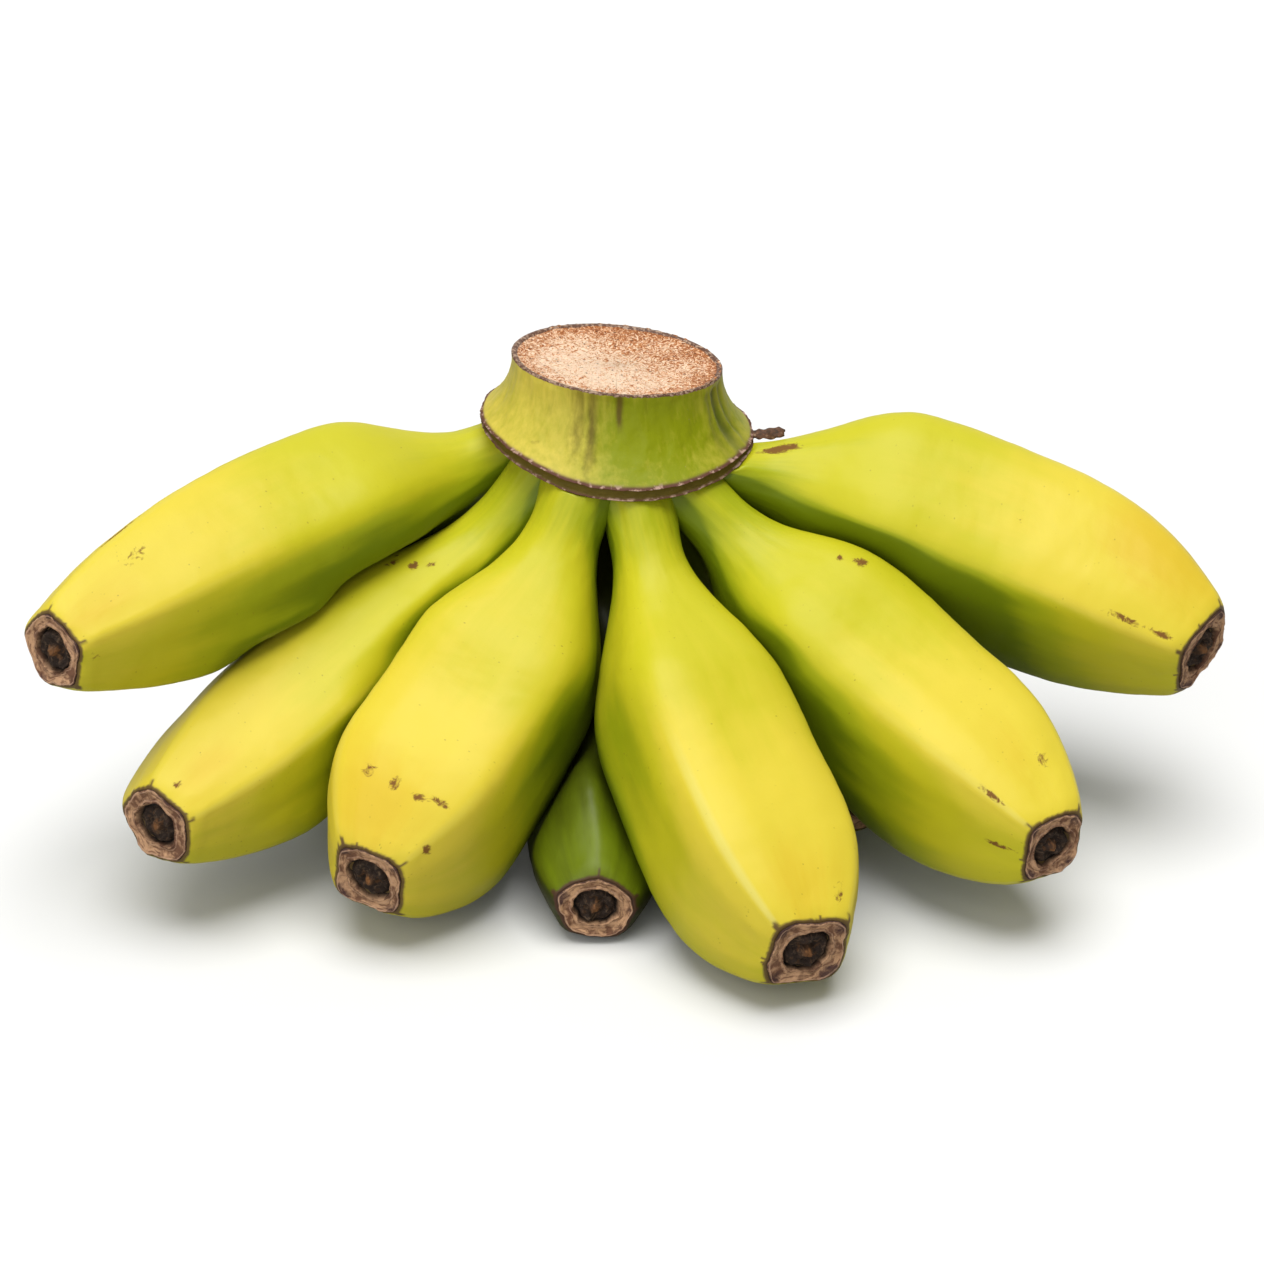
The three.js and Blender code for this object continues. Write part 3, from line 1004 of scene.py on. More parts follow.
    def _masks(
        self, rings: np.ndarray, rows: dict[Zone, slice], drop: np.ndarray, up: np.ndarray
    ) -> dict[str, np.ndarray]:
        """Works out where the crown is green, bruised, folded and scarred, and where painted shade darkens its
        folds.

        Args:
            rings: the crown's rows.
            rows: which rows each zone has.
            drop: how far down the wall each of its rows lies, 0 at the rim.
            up: each scar row's share of the scar's height.

        Returns:
            A number for each point, by the name under which the material reads it.
        """
        shape = rings.shape[:2]
        masks = {key: np.zeros(shape) for key in ("green", "bruise", "band", "lip", "rim", "fold")}
        degrees = np.degrees(turns(self.columns))[None, :]
        wall = rows[Zone.WALL]
        scar = rows[Zone.SCAR]
        right = (np.sin(np.radians(degrees)) + 1) / 2
        masks["green"][:] = 0.22 + 0.62 * smooth(right, 0.2, 0.58) - 0.2 * smooth(right, 0.75, 0.95)
        masks["green"][wall] += 0.12 * np.sin(math.pi * drop)
        wobble = 2.2 * fractal(rings[wall], 5 * MM, 2, 4.0)
        for streak in self.streaks:
            away = angle_from(degrees, streak.angle)
            narrow = streak.width * (1 - 0.2 * drop / streak.drop)
            side = bell(away + wobble * drop, np.maximum(narrow, 0.3))
            end = 1 - smooth(drop, 0.45 * streak.drop, streak.drop)
            masks["bruise"][wall] = np.maximum(masks["bruise"][wall], streak.strength * side * end)
        low_left = bell(angle_from(degrees, -48), 16) * bell(drop - 0.78, 0.18)
        blotch = smooth(fractal(rings[wall], 4 * MM, 3, 8.0), 0.05, 0.4)
        masks["bruise"][wall] = np.maximum(masks["bruise"][wall], 0.75 * low_left * blotch)
        # The folds are pressed in by the relief, and the same mask paints shade into them.
        for angle, width, depth in self.folds:
            near = bell(angle_from(degrees, angle) + wobble, width)
            near = near * smooth(drop, 0.02, 0.2) * (1 - 0.5 * smooth(drop, 0.7, 1.0))
            masks["fold"][wall] = np.maximum(masks["fold"][wall], depth * near)
        ragged = 1 + 0.5 * fractal(rings[wall], 1.5 * MM, 3, 31.0)
        masks["rim"][wall] = 0.95 * bell(drop, 0.016 * ragged)
        masks["rim"][rows[Zone.RIM]] = 1.0
        masks["band"][scar] = smooth(up, 0.0, 0.08)
        masks["lip"][scar] = np.maximum(bell(up - 0.1, 0.1), smooth(up, 0.8, 0.9))
        masks["lip"][wall] = bell(drop - 1.0, 0.022)
        inward = np.linspace(0, 1, self.under_rows + 1)[:, None]
        masks["band"][rows[Zone.UNDERSIDE]] = smooth(inward, 0.93, 1.0)
        return masks

    def _relief(
        self, rings: np.ndarray, rows: dict[Zone, slice], drop: np.ndarray, fold: np.ndarray
    ) -> np.ndarray:
        """Presses folds, flutes and cracks into the crown.

        Args:
            rings: the crown's rows.
            rows: which rows each zone has.
            drop: how far down the wall each of its rows lies, 0 at the rim.
            fold: how deep in a fold each point lies.

        Returns:
            The rows with their relief.
        """
        away = rings - np.array(self.middle())
        away[:, :, 2] = 0
        away /= np.linalg.norm(away, axis=2, keepdims=True) + TINY
        wall = rings[rows[Zone.WALL]]
        scar = rings[rows[Zone.SCAR]]
        upright = wall * np.array([1, 1, 0.16])
        calm = smooth(drop, 0.0, 0.12) * (1 - smooth(drop, 0.6, 1.0))
        flutes = 0.5 * MM * fractal(upright, 8 * MM, 2) + 0.22 * MM * fractal(upright, 2.4 * MM, 2, 3.0)
        height = np.zeros(rings.shape[:2])
        height[rows[Zone.WALL]] = flutes * calm + 0.05 * MM * fractal(wall, 2 * MM, 2, 6.0)
        height[rows[Zone.SCAR]] = 0.2 * MM * fractal(scar, 2.4 * MM, 3, 2.0)
        height[rows[Zone.SCAR]] += 0.14 * MM * fractal(scar, 0.9 * MM, 2, 4.0)
        height -= self.fold_depth * fold
        return rings + away * height[:, :, None]

    def _cut_face(self, material: bpy.types.Material) -> bpy.types.Object:
        """Builds the dished, fibrous cut face with its torn rim.

        Args:
            material: the cut flesh.

        Returns:
            The piece.
        """
        a = turns(self.columns)[None, :]
        # The first rows tuck the face's edge in under the wall's rim.
        inward = np.linspace(0.985, 0.02, self.face_rows)
        out = np.concatenate([[0.962, 0.982, 0.992], inward, [0.0]])[:, None]
        one = np.ones_like(a)
        rows = self._place(
            out * self.cut_half_width * one,
            out * self.cut_half_depth * one,
            self.top - out * self.cut_half_width * np.sin(a) * math.tan(self.roll) - self.dish * (1 - out**2),
        )
        torn = fractal(rows, 1.6 * MM, 3, 5.0)
        edge = bell(out - 0.985, 0.02)
        lift = 0.22 * fractal(rows, 3.5 * MM, 3) + 0.13 * fractal(rows, 1.1 * MM, 3, 2.0)
        lift = lift * smooth(out, 0.0, 0.05) + edge * (0.22 + 0.4 * torn)
        rows[:, :, 2] += lift * MM
        rows[0, :, 2] -= 1.8 * MM
        rows[1, :, 2] -= 0.6 * MM
        floor = rows.mean(axis=(0, 1)) - np.array([0, 0, 3.0 * MM])
        rows = np.concatenate([np.broadcast_to(floor, rows[:1].shape), rows])
        out = np.concatenate([[[0.0]], out])
        x = np.sin(a) * out
        back = -np.cos(a) * out
        tan = 0.2 + 0.4 * smooth(x * 0.6 + back * 0.8, -0.35, 0.45) + 0.4 * smooth(out, 0.68, 0.98) * one
        tan = tan - 0.35 * bell(x + 0.2, 0.4) * bell(back + 0.3, 0.5)
        # The fibres fan out from the middle. Each step of one along the fan is one fibre.
        flat = np.zeros_like(out * one)
        fan = np.stack([a / (2 * math.pi) * self.fibres_round + flat, out * self.fibres_out + flat, flat], 2)
        left = (1 - np.sin(a)) / 2
        ragged = 1 + 0.7 * fractal(rows, 1.8 * MM, 3, 33.0)
        rim = 0.95 * bell((out - 1.0) * one, (0.012 + 0.028 * left) * ragged)
        rim[:4] = 1.0
        return roll_sheet("crown_cut_face", rows, {"tan": tan, "rim": rim, "fan": fan}, material)


@dataclass
class Bract:
    """The curled scrap of dried bract that still hangs beside the scar."""

    length: float = 7.6 * MM
    width: float = 5.0 * MM
    wall: float = 0.4 * MM
    curl: float = math.radians(205)
    rise: float = 0.9 * MM
    crumple: float = 0.45 * MM
    crumple_size: float = 1.6 * MM
    crumple_seed: int = 143
    length_faces: int = 60
    width_faces: int = 30

    def build(self, material: bpy.types.Material) -> None:
        """Rolls a small grid into a flake that curls up towards its free end, and lays it in place.

        Args:
            material: the dried bract.
        """
        # Without a seed of its own the crumple would differ from run to run.
        noise.seed_set(self.crumple_seed)
        low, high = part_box("bract_stub")
        mesh = bmesh.new()
        bmesh.ops.create_grid(mesh, x_segments=self.length_faces, y_segments=self.width_faces, size=1)
        for vert in mesh.verts:
            vert.co = self._curled(vert.co.x, vert.co.y)
        bmesh.ops.recalc_face_normals(mesh, faces=mesh.faces)
        bmesh.ops.solidify(mesh, geom=mesh.faces[:], thickness=self.wall)
        for face in mesh.faces:
            face.smooth = True
        bmesh.ops.translate(mesh, verts=mesh.verts, vec=(low + high) / 2)
        flake = finished_piece("bract_flake", mesh, material)
        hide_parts("bract_stub")

    def _curled(self, along: float, across: float) -> Vector:
        """Works out where a point of the flake goes, from its place along and across it.

        Args:
            along: -1 at the scar and 1 at the free end.
            across: -1 at one edge and 1 at the other.

        Returns:
            The place, measured from the middle of the flake.
        """
        free = float(smooth(along, -0.5, 0.6))
        torn = 1 + 0.18 * noise.noise(Vector((along * 3.0, across * 0.6, 0.0)))
        half = self.width / 2 * (0.95 + 0.25 * free) * (1 - 0.45 * max(0.0, along) ** 6) * torn
        curl = self.curl * (0.75 + 0.25 * free)
        radius = 2 * half / curl
        turned = across * curl / 2
        height = radius * (math.cos(turned) - 0.4) + self.rise * free
        place = Vector((along * self.length / 2, radius * math.sin(turned), height))
        return place + noise.noise_vector(place / self.crumple_size) * self.crumple


# ---------------------------------------------------------------------------------------------------------- fingers


# The blossom end's profile: how far along it each stop is, its share of the edge's radius, and its height in
# millimetres. It runs from under the edge over the corky collar and down into the pit.
BLOSSOM_STOPS = (
    (0.0, 0.9, -1.2), (0.04, 0.965, -0.4), (0.07, 0.995, -0.05), (0.1, 0.985, 0.28), (0.14, 0.955, 0.4),
    (0.2, 0.9, 0.22), (0.3, 0.82, -0.05), (0.4, 0.74, -0.15), (0.47, 0.68, 0.0), (0.51, 0.64, 0.12),
    (0.54, 0.62, -0.4), (0.57, 0.6, -1.4), (0.6, 0.575, -1.8), (0.63, 0.54, -1.4), (0.68, 0.47, -0.6),
    (0.74, 0.36, -0.3), (0.79, 0.26, -0.9), (0.85, 0.17, -0.5), (0.93, 0.08, 0.7), (1.0, 0.0, 0.9),
)


@dataclass(frozen=True)
class Mark:
    """A patch of peel that is scarred or flushed.

    Its share says how far down the finger it lies, and its turn how far round. Its length and width are in
    millimetres.
    """

    share: float
    turn: float
    length: float
    width: float
    strength: float


@dataclass
class Finger:
    """One banana: its skin and its blossom end, both drawn through the rings of its CAD solid."""

    node: str
    ripeness_and_shade: float
    seed: float
    winding: Winding = Winding.CLOCKWISE
    softness: float = 0.5
    tip_softness: float = 0.4
    marks: tuple[Mark, ...] = ()
    sides: int = 20
    columns: int = 128
    rows: int = 170
    tip_rows: int = 34
    tip_rounding: float = 3.2 * MM
    softening: int = 60
    tip_waver: float = 0.07
    blossom_size: float = 0.88
    blossom_rows: int = 64
    # How strongly a pale painted highlight runs along the ridges.
    ridge_highlight: float = 0.1
    flushes: tuple[Mark, ...] = ()
    neck_reach: float = 6 * MM
    neck_widening: float = 1.7 * MM
    tail_length: float = 1.5 * MM
    swell: float = 0.28 * MM
    dimple: float = 0.07 * MM
    neck_rib: float = 0.09 * MM
    ridge_rise: float = 0.2 * MM
    tip_ripening: float = 0.34
    neck_greening: float = 0.18
    # The next two paint light and shade into the peel: tops turn yellower, undersides greener and darker.
    painted_top_light: float = 0.12
    under_greening_and_shade: float = 0.7
    greenest: float = -0.1
    wrinkles_round: float = 3.0
    wrinkles_out: float = 15.0
    end_rows: int = 12
    straight_radius: float = 17 * MM

    def build(self, peel: bpy.types.Material, blossom: bpy.types.Material, crown: Crown) -> None:
        """Builds the finger's two pieces.

        Args:
            peel: the skin's material.
            blossom: the blossom end's material.
            crown: the crown, from which the neck springs.
        """
        cage = Cage(self.node, self.sides, crown.middle(), self.winding).read()
        rings, along = self._fine_rings(np.array(cage.rings[1:-2]))
        rings = self._softened(rings, (along / along[-1])[:, None, None])
        rings, along = self._round_tip(rings, along)
        skin = self._skin(rings, along, crown, peel)
        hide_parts(self.node)
        end = self._blossom_end(rings[-1], rings[-self.end_rows], blossom)

    def _fine_rings(self, stations: np.ndarray) -> tuple[np.ndarray, np.ndarray]:
        """Draws the smooth skin through the stations.

        Args:
            stations: the CAD rings from the neck to the tip.

        Returns:
            The fine rings, and how far along the finger each lies.
        """
        middles = stations.mean(axis=1)
        back = middles[0] - middles[1]
        back /= np.linalg.norm(back)
        root = middles[0] + back * self.neck_reach + (stations[0] - middles[0]) * 0.96
        rings = np.concatenate([root[None], stations])
        middles = rings.mean(axis=1)
        steps = np.linalg.norm(np.diff(middles, axis=0), axis=1)
        places = np.concatenate([[0], np.cumsum(steps)])
        wanted = np.linspace(0, places[-1], self.rows)
        round_rings = spread_round(rings, self.columns)
        return spread_along(round_rings, places, wanted), wanted

    def _round_tip(self, rings: np.ndarray, along: np.ndarray) -> tuple[np.ndarray, np.ndarray]:
        """Crowds fine rings at the tip and rounds the skin in to the blossom end.

        Args:
            rings: the fine rings.
            along: how far along the finger each lies.

        Returns:
            The new rings, and how far along the finger each lies.
        """
        reach = self.tip_rounding
        far = along[-1] - 2 * reach
        tip = np.linspace(far, along[-1], self.tip_rows)[1:]
        wanted = np.concatenate([np.linspace(0, far, self.rows), tip])
        rings = spread_along(rings, along, wanted)
        past = np.clip((wanted - along[-1] + reach) / reach, 0, 1)
        draw_in = 1 - (1 - self.blossom_size) * (1 - np.sqrt(1 - past**2))
        middles = rings.mean(axis=1, keepdims=True)
        turn = turns(self.columns)
        waver = fractal(np.stack([np.cos(turn), np.sin(turn), 0 * turn + self.seed], axis=1), 0.45, 3)
        draw_in = draw_in[:, None] * (1 + self.tip_waver * past[:, None] ** 3 * waver[None, :])
        return middles + (rings - middles) * draw_in[:, :, None], wanted

    def _skin(
        self, rings: np.ndarray, along: np.ndarray, crown: Crown, material: bpy.types.Material
    ) -> bpy.types.Object:
        """Builds the skin from the neck to the edge of the blossom end.

        Args:
            rings: the fine rings.
            along: how far along the finger each lies.
            crown: the crown, under which the necks widen until they meet.
            material: the peel.

        Returns:
            The piece.
        """
        length = along[-1]
        share = (along / length)[:, None] * np.ones((1, self.columns))
        out = outward(rings)
        sharpness = self._sharpness(rings)
        ridge = smooth(sharpness, 1.35, 3.2)
        straight = self._straightened(share, length)
        relief = self._relief(straight, share, ridge)
        relief += self._widened_neck(rings, out, share, crown)
        relief *= 1 - smooth(share, 0.965, 0.998)
        rings = rings + out * relief[:, :, None]
        rings[:, :, 2] = np.clip(rings[:, :, 2], 0.0, crown.ceiling(rings))
        crest = smooth(sharpness / sharpness.max(axis=1, keepdims=True), 0.82, 1.0)
        attributes = {
            "straight": straight,
            "ripe_light_and_shade": self._ripe_light_and_shade(share, out[:, :, 2], length),
            # A pale line along the sharpest ridges: a painted highlight.
            "paling": self.ridge_highlight * crest * ridge * smooth(share, 0.45, 0.75),
            "scar": self._laid_out(self.marks, share, length),
            "stain": self._stain(share, sharpness, straight, length),
        }
        rings, attributes = self._closed(rings, attributes)
        return roll_sheet(self.node + "_peel", rings, attributes, material)

    def _straightened(self, share: np.ndarray, length: float) -> np.ndarray:
        """Lays the bent skin out on a straight round bar, so that patterns run along the finger.

        Args:
            share: each point's share of the finger's length.
            length: the finger's length.

        Returns:
            A place on the bar for each point. Each finger has a stretch of the bar of its own.
        """
        turn = turns(self.columns)
        across, ahead = (
            np.broadcast_to(way(turn) * self.straight_radius, share.shape) for way in (np.cos, np.sin)
        )
        return np.stack([across, ahead, share * length], axis=2) + self.seed

    def _relief(self, straight: np.ndarray, share: np.ndarray, ridge: np.ndarray) -> np.ndarray:
        """Works out the gentle swells of the skin, the ribs of the neck and the ridges near the tip.

        Args:
            straight: each point's place on the straight bar.
            share: each point's share of the finger's length.
            ridge: how far each point is on a ridge.

        Returns:
            How far each point stands out.
        """
        relief = self.swell * fractal(straight, 16 * MM, 2) + self.dimple * fractal(straight, 4 * MM, 2, 5.0)
        ribs = fractal(straight * np.array([1, 1, 0.08]), 3.2 * MM, 2, 9.0)
        relief += self.neck_rib * ribs * (1 - smooth(share, 0.08, 0.34))
        return relief + self.ridge_rise * ridge * smooth(share, 0.5, 0.9)

    def _widened_neck(
        self, rings: np.ndarray, out: np.ndarray, share: np.ndarray, crown: Crown
    ) -> np.ndarray:
        """Works out how the neck widens sideways until it meets its neighbours under the crown.

        Args:
            rings: the fine rings.
            out: which way is out at each point.
            share: each point's share of the finger's length.
            crown: the crown, round which the necks stand.

        Returns:
            How far each point stands out.
        """
        from_crown = (rings - np.array(crown.middle())) * np.array([1, 1, 0])
        from_crown /= np.linalg.norm(from_crown, axis=2, keepdims=True) + TINY
        sideways = 1 - np.abs((out * from_crown).sum(axis=2))
        return self.neck_widening * (1 - smooth(share, 0.04, 0.16)) * smooth(sideways, 0.25, 0.85)

    def _ripe_light_and_shade(self, share: np.ndarray, up: np.ndarray, length: float) -> np.ndarray:
        """Works out how far the skin has turned from green to yellow: least at the neck and most near the tip.
        Facing up raises it and facing down lowers it: partly the real greening of a shaded side, partly painted
        light and painted shade.

        Args:
            share: each point's share of the finger's length.
            up: how far each point faces up.
            length: the finger's length.

        Returns:
            The value at each point, with its painted light and shade, from about -1 for dark green to 1 for full
            yellow.
        """
        # Facing up makes the skin yellower: painted light.
        ripe_light_and_shade = self.ripeness_and_shade + self.tip_ripening * smooth(share, 0.3, 0.97) + self.painted_top_light * up
        ripe_light_and_shade = ripe_light_and_shade - self.neck_greening * (1 - smooth(share, 0.02, 0.36))
        # Undersides turn greener and darker: partly the real greening of a shaded side, partly painted shade.
        shaded = smooth(-up, -0.45, 0.42) * (1 - 0.75 * smooth(share, 0.55, 0.96))
        ripe_light_and_shade = ripe_light_and_shade - self.under_greening_and_shade * shaded + self._laid_out(self.flushes, share, length)
        return np.maximum(ripe_light_and_shade, min(self.ripeness_and_shade, self.greenest))

    def _stain(
        self, share: np.ndarray, sharpness: np.ndarray, straight: np.ndarray, length: float
    ) -> np.ndarray:
        """Works out where the peel has browned: a line along the blossom end, with a tail up each ridge.

        Args:
            share: each point's share of the finger's length.
            sharpness: how sharply the skin turns at each point.
            straight: each point's place on the straight bar.
            length: the finger's length.

        Returns:
            How brown each point is, 0 to 1.
        """
        uneven = fractal(straight, 1.5 * MM, 2, 12.0)
        line = smooth(share + 0.0012 * uneven, 0.9955, 0.9985)
        nearest = np.max([np.roll(sharpness, k, axis=1) for k in range(-10, 11)], axis=0)
        back = (1 - share) * length / self.tail_length
        on_ridge = smooth(sharpness / nearest - 0.32 * back + 0.07 * uneven, 0.6, 0.78)
        tail = on_ridge * smooth(1.3 - back, 0.0, 0.4)
        return 0.9 * np.maximum(line, tail)

    def _softened(self, rings: np.ndarray, share: np.ndarray) -> np.ndarray:
        """Rounds the ridges off, less so towards the tip.

        Args:
            rings: the fine rings.
            share: each ring's share of the finger's length.

        Returns:
            The softer rings.
        """
        reach = 12
        steps = range(-reach, reach + 1)
        weights = [math.exp(-((k / 6) ** 2)) for k in steps]
        soft = sum(w * np.roll(rings, k, axis=1) for k, w in zip(steps, weights)) / sum(weights)
        middles = rings.mean(axis=1, keepdims=True)
        size = np.linalg.norm(rings - middles, axis=2).mean(axis=1)[:, None, None]
        soft_size = np.linalg.norm(soft - middles, axis=2).mean(axis=1)[:, None, None]
        soft = middles + (soft - middles) * size / soft_size
        blend = self.softness + (self.tip_softness - self.softness) * smooth(share, 0.35, 0.75)
        rings = rings + (soft - rings) * blend
        # The same along the finger, where the stations lie some way apart.
        for _ in range(self.softening):
            rings[1:-1] += 0.25 * (rings[:-2] - 2 * rings[1:-1] + rings[2:])
        return rings

    @staticmethod
    def _closed(
        rings: np.ndarray, attributes: dict[str, np.ndarray]
    ) -> tuple[np.ndarray, dict[str, np.ndarray]]:
        """Adds the rows that close a skin: a point inside the crown, and a sunk floor under the blossom end.

        Args:
            rings: the skin's rows.
            attributes: what the material reads at each point.

        Returns:
            The rows and what the material reads, with the new rows.
        """
        middles = rings.mean(axis=1, keepdims=True)
        tip = middles[-1] - middles[-3]
        tip /= np.linalg.norm(tip)
        point = np.broadcast_to(middles[0], rings[0].shape)
        inner = middles[-1] + (rings[-1] - middles[-1]) * 0.9 - tip * 0.8 * MM
        floor = np.broadcast_to(middles[-1] - tip * 3.5 * MM, rings[0].shape)
        rings = np.concatenate([point[None], rings, inner[None], floor[None]])
        grown = {key: np.concatenate([v[:1], v, v[-1:], v[-1:]]) for key, v in attributes.items()}
        return rings, grown

    @staticmethod
    def _sharpness(rings: np.ndarray) -> np.ndarray:
        """Measures how sharply the skin turns.

        Args:
            rings: the fine rings.

        Returns:
            The sharpness at each point: 1 on a round finger and more on the ridges.
        """
        ahead = np.roll(rings, -2, axis=1) - rings
        behind = rings - np.roll(rings, 2, axis=1)
        step = (np.linalg.norm(ahead, axis=2) + np.linalg.norm(behind, axis=2)) / 2
        bend = np.linalg.norm(ahead - behind, axis=2) / step**2
        middles = rings.mean(axis=1, keepdims=True)
        radius = np.linalg.norm(rings - middles, axis=2).mean(axis=1, keepdims=True)
        return bend * radius

    def _laid_out(self, marks: tuple[Mark, ...], share: np.ndarray, length: float) -> np.ndarray:
        """Lays marks out over the skin.

        Args:
            marks: the marks.
            share: each point's share of the finger's length.
            length: the finger's length.

        Returns:
            How far each point is marked.
        """
        turn = np.broadcast_to(np.arange(self.columns) / self.columns, share.shape)
        laid = np.zeros_like(share)
        for mark in marks:
            down = (share - mark.share) * length
            across = ((turn - mark.turn + 0.5) % 1 - 0.5) * 2 * math.pi * self.straight_radius
            patch = np.exp(-((down / (mark.length * MM)) ** 2) - (across / (mark.width * MM)) ** 2)
            laid = np.maximum(laid, patch * mark.strength)
        return laid

    def _blossom_end(
        self, edge: np.ndarray, before: np.ndarray, material: bpy.types.Material
    ) -> bpy.types.Object:
        """Builds the dry end where the flower was: a corky collar, a ring inside it and a withered heart.

        Args:
            edge: the last ring of the skin.
            before: a ring a little before it.
            material: the dry finish.

        Returns:
            The piece.
        """
        axis = edge.mean(axis=0) - before.mean(axis=0)
        axis /= np.linalg.norm(axis)
        middle = edge.mean(axis=0)
        radius = float(np.linalg.norm(edge - middle, axis=1).mean())
        u = np.linspace(0, 1, self.blossom_rows)
        reach = through([(place, share) for place, share, _ in BLOSSOM_STOPS], u)[:, None]
        height = through([(place, rise) for place, _, rise in BLOSSOM_STOPS], u)[:, None] * MM
        # Towards the pit the outline loses the finger's corners.
        spokes = edge - middle
        length = np.linalg.norm(spokes, axis=1, keepdims=True)
        round_spokes = spokes / length * radius
        corner_share = smooth(reach, 0.6, 0.98)[:, :, None]
        rings = middle + (spokes * corner_share + round_spokes * (1 - corner_share)) * reach[:, :, None]
        rings = rings + axis * height[:, :, None]
        seeded = rings + self.seed
        cork = smooth(reach, 0.62, 0.7) * (1 - smooth(reach, 0.97, 1.02))
        inside = 1 - smooth(reach, 0.5, 0.57)
        corky = 0.3 * fractal(seeded, 3.2 * MM, 2) + 0.13 * fractal(seeded, 0.9 * MM, 2, 3.0)
        lumpy = 1.2 * fractal(seeded, 2.6 * MM, 2, 7.0) + 0.3 * fractal(seeded, 0.9 * MM, 2, 2.0)
        rough = cork * corky + inside * lumpy
        calm = smooth(reach, 0.0, 0.06)
        rings = rings + axis * (rough * calm * MM)[:, :, None]
        wobble = 0.16 * fractal(seeded, 4 * MM, 2, 11.0)
        wobble = wobble * smooth(reach, 0.1, 0.5) * (1 - smooth(reach, 0.8, 0.98))
        rings = rings + (rings - middle) * wobble[:, :, None]
        ones = np.ones((1, self.columns))
        spin = turns(self.columns)[None, :]
        corner = smooth(length[:, 0] / radius, 1.01, 1.1)[None, :]
        fleck = smooth(fractal(seeded, 1.2 * MM, 2, 21.0), 0.15, 0.4)
        flat = np.zeros((self.blossom_rows, self.columns))
        # Each step of one along the swirl is one wrinkle.
        turned = [self.wrinkles_round * way(spin) + flat for way in (np.cos, np.sin)]
        attributes = {
            "straight": seeded,
            "swirl": np.stack([*turned, self.wrinkles_out * reach + flat], axis=2),
            "depth": (1 - smooth(reach, 0.575, 0.635)) * ones,
            "edge": bell((reach - 1.0) * ones, 0.03) + 0.6 * bell((reach - 0.65) * ones, 0.02),
            "corner": corner * smooth(reach, 0.66, 0.95),
            "pale": bell((reach - 0.945) * ones, 0.022) + 0.8 * bell((reach - 0.7) * ones, 0.03),
            "crack": 0.95 * bell((reach - 0.575) * ones, 0.035),
            "heart": 0.8 * bell(reach * ones, 0.11) + 0.5 * bell(reach * ones, 0.3) * fleck,
        }
        return roll_sheet(self.node.replace("finger", "blossom_end"), rings, attributes, material)


# ----------------------------------------------------------------------------------------------------------- studio


@dataclass(frozen=True)
class Lamp:
    """A soft light from far off: which way it lies, how wide it looks and how strong it is."""

    name: str
    towards: tuple[float, float, float]
    spread: float
    power: float


@dataclass
class Studio:
    """The pale floor, the soft lights and the camera."""

    floor_size: float = 6.0
    floor_gap: float = 0.05 * MM
    floor_colour: str = "#d9d9d8"
    floor_bounce: str = "#aaa9a2"
    lens: float = 120.0
    sensor: float = 36.0
    distance: float = 0.957
    elevation: float = math.radians(28)
    aim: tuple[float, float, float] = (3.4 * MM, -29 * MM, 50.4 * MM)
    world_strength: float = 0.15
    lamps: tuple[Lamp, ...] = (
        Lamp("key", (-0.02, -0.1, 0.99), 50.0, 3.5),
        Lamp("front", (-0.42, -0.84, 0.34), 75.0, 1.75),
        Lamp("back", (0.2, 0.85, 0.45), 70.0, 0.65),
    )

    def build(self, crown_middle: Vector) -> None:
        """Sets up the studio.

        Args:
            crown_middle: the crown's axis, from which the camera's aim is measured.
        """
        self._floor()
        self._light()
        self._camera(crown_middle)
        bpy.context.scene.view_settings.view_transform = "Standard"

    def _floor(self) -> None:
        """Lays the floor."""
        mesh = bmesh.new()
        bmesh.ops.create_grid(mesh, x_segments=2, y_segments=2, size=self.floor_size / 2)
        bmesh.ops.translate(mesh, verts=mesh.verts, vec=(0, 0, -self.floor_gap))
        data = bpy.data.meshes.new("floor")
        mesh.to_mesh(data)
        mesh.free()
        # Matt paper: it looks white, yet throws less light back up, as a floor with dark flags round it does.
        m = new_material("matt_paper_sweep")
        seen = add_node(m, "LightPath").outputs["Is Camera Ray"]
        shades = {0: seen, 6: linear(self.floor_bounce), 7: linear(self.floor_colour)}
        colour = add_node(m, "Mix", shades, data_type="RGBA").outputs[2]
        shader = add_node(
            m, "BsdfPrincipled", {"Base Color": colour, "Roughness": 0.9, "Specular IOR Level": 0.1}
        )
        add_node(m, "OutputMaterial", {"Surface": shader})
        data.materials.append(m)
        floor = bpy.data.objects.new("floor", data)
        bpy.context.scene.collection.objects.link(floor)

    def _light(self) -> None:
        """Hangs the lamps and sets the sky."""
        world = bpy.data.worlds.new("studio")
        world.use_nodes = True
        background = world.node_tree.nodes["Background"]
        background.inputs["Color"].default_value = (1, 1, 1, 1)
        background.inputs["Strength"].default_value = self.world_strength
        bpy.context.scene.world = world
        for lamp in self.lamps:
            data = bpy.data.lights.new(lamp.name, "SUN")
            data.angle = math.radians(lamp.spread)
            data.energy = lamp.power
            light = bpy.data.objects.new(lamp.name, data)
            light.rotation_euler = Vector(lamp.towards).to_track_quat("Z", "Y").to_euler()
            bpy.context.scene.collection.objects.link(light)

    def _camera(self, crown_middle: Vector) -> None:
        """Places the camera in front of the hand, looking down on it.

        Args:
            crown_middle: the crown's axis, from which the camera's aim is measured.
        """
        target = Vector((crown_middle.x + self.aim[0], crown_middle.y + self.aim[1], self.aim[2]))
        back = Vector((0, -math.cos(self.elevation), math.sin(self.elevation)))
        data = bpy.data.cameras.new("camera")
        data.lens = self.lens
        data.sensor_width = self.sensor
        camera = bpy.data.objects.new("camera", data)
        camera.location = target + back * self.distance
        camera.rotation_euler = (math.pi / 2 - self.elevation, 0, 0)
        bpy.context.scene.collection.objects.link(camera)
        bpy.context.scene.camera = camera


# ------------------------------------------------------------------------------------------------------------- hand

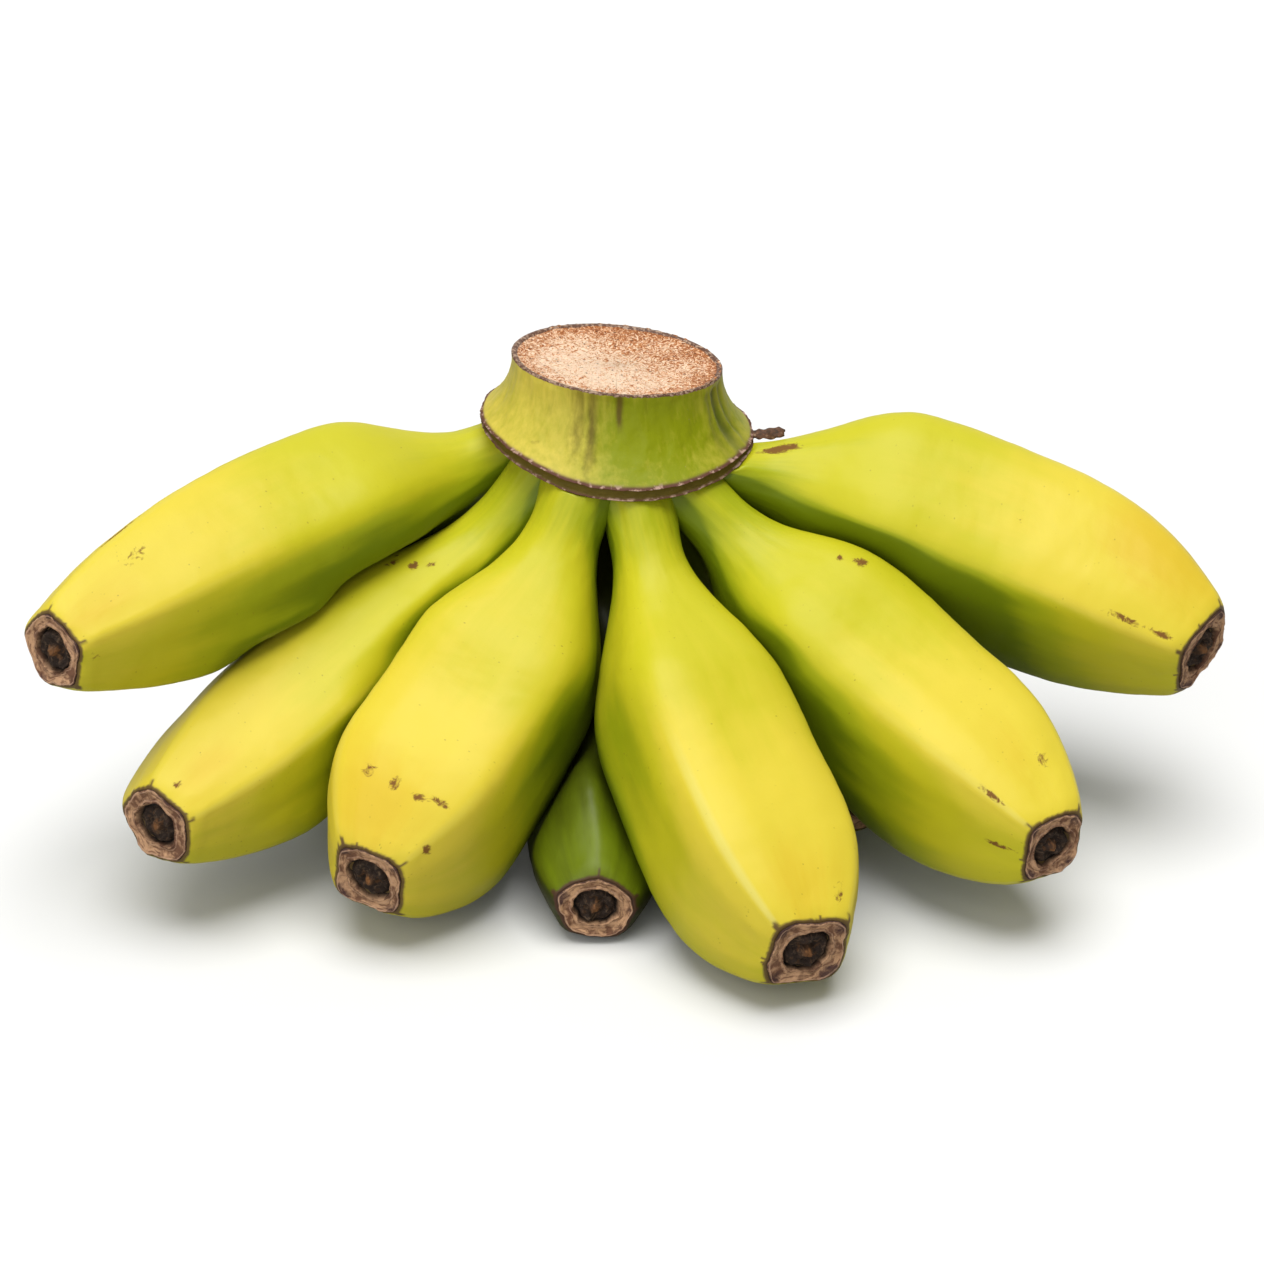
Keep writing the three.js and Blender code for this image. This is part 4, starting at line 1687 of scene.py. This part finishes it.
FINGERS = (
    Finger(
        "finger_front_1",
        ripeness_and_shade=0.4,
        seed=0.0,
        ridge_highlight=0.15,
        marks=(Mark(0.82, 0.961, 9, 0.8, 1.1), Mark(0.834, 0.883, 5, 3, 0.7), Mark(0.978, 0.695, 2, 3, 0.6)),
        flushes=(Mark(0.92, 0.83, 14, 8, 0.15),),
    ),
    Finger(
        "finger_front_2",
        ripeness_and_shade=0.4,
        seed=1.0,
        ridge_highlight=0.15,
        marks=(
            Mark(0.344, 0.922, 2.8, 1.4, 0.85),
            Mark(0.321, 0.883, 1.8, 1.6, 1.05),
            Mark(0.293, 0.859, 2.2, 1.0, 0.95),
            Mark(0.326, 0.94, 1.2, 1.2, 0.8),
            Mark(0.975, 0.867, 1.8, 1.4, 1.0),
            Mark(0.89, 0.102, 3, 1.6, 0.8),
        ),
        flushes=(Mark(0.907, 0.836, 12, 9, 0.2),),
    ),
    Finger(
        "finger_front_3",
        ripeness_and_shade=0.5,
        seed=2.0,
        ridge_highlight=0.12,
        marks=(
            Mark(0.873, 0.828, 2.4, 1.3, 1.15),
            Mark(0.882, 0.773, 1.3, 2.4, 0.95),
            Mark(0.871, 0.734, 1.3, 2.8, 0.95),
            Mark(0.953, 0.688, 1.3, 2, 1.05),
            Mark(0.862, 0.883, 3, 2, 0.75),
        ),
        flushes=(Mark(0.93, 0.859, 12, 8, 0.15),),
    ),
    Finger(
        "finger_front_4",
        ripeness_and_shade=0.45,
        seed=3.0,
        winding=Winding.ANTICLOCKWISE,
        softness=0.7,
        ridge_highlight=0.5,
        marks=(Mark(0.962, 0.16, 4, 2, 0.8), Mark(0.95, 0.44, 4, 2, 0.75)),
        flushes=(Mark(0.93, 0.062, 12, 8, 0.12),),
    ),
    Finger(
        "finger_front_5",
        ripeness_and_shade=0.38,
        seed=4.0,
        ridge_highlight=0.35,
        marks=(
            Mark(0.332, 0.016, 1.3, 1.3, 1.1),
            Mark(0.365, 0.0, 1.9, 1.9, 1.2),
            Mark(0.922, 0.197, 5, 0.9, 1.05),
            Mark(0.958, 0.31, 5, 1.1, 1.05),
            Mark(0.905, 0.031, 3, 3, 0.7),
        ),
        flushes=(Mark(0.855, 0.086, 16, 8, 0.14),),
    ),
    Finger(
        "finger_front_6",
        ripeness_and_shade=0.42,
        seed=5.0,
        ridge_highlight=0.25,
        marks=(
            Mark(0.155, 0.906, 5.5, 3.4, 1.3),
            Mark(0.88, 0.082, 7, 0.9, 1.0),
            Mark(0.956, 0.078, 3.5, 1.2, 1.05),
            Mark(0.613, 0.0, 1.6, 1, 0.75),
        ),
        flushes=(Mark(0.86, 0.914, 20, 12, 0.28),),
    ),
    Finger("finger_back_1", ripeness_and_shade=0.1, seed=6.0, winding=Winding.ANTICLOCKWISE),
    # Its very low value stands in for the shade that the fingers above cast on it: painted shade.
    Finger("finger_back_2", ripeness_and_shade=-0.8, seed=7.0, softness=0.9, tip_softness=0.8, ridge_highlight=0.0),
    Finger("finger_back_3", ripeness_and_shade=0.0, seed=8.0, winding=Winding.ANTICLOCKWISE),
    Finger("finger_back_4", ripeness_and_shade=0.1, seed=9.0),
)


def main() -> None:
    """Builds the hand and the studio round it."""
    logging.basicConfig(level=logging.INFO, format="%(message)s")
    peel = PeelFinish().make()
    blossom = BlossomFinish().make()
    crown = Crown()
    for finger in FINGERS:
        finger.build(peel, blossom, crown)
    crown.build(CrownFinish().make(), CutFinish().make())
    Bract().build(BractFinish().make())
    Studio().build(crown.middle())


if __name__ == "__main__":
    main()
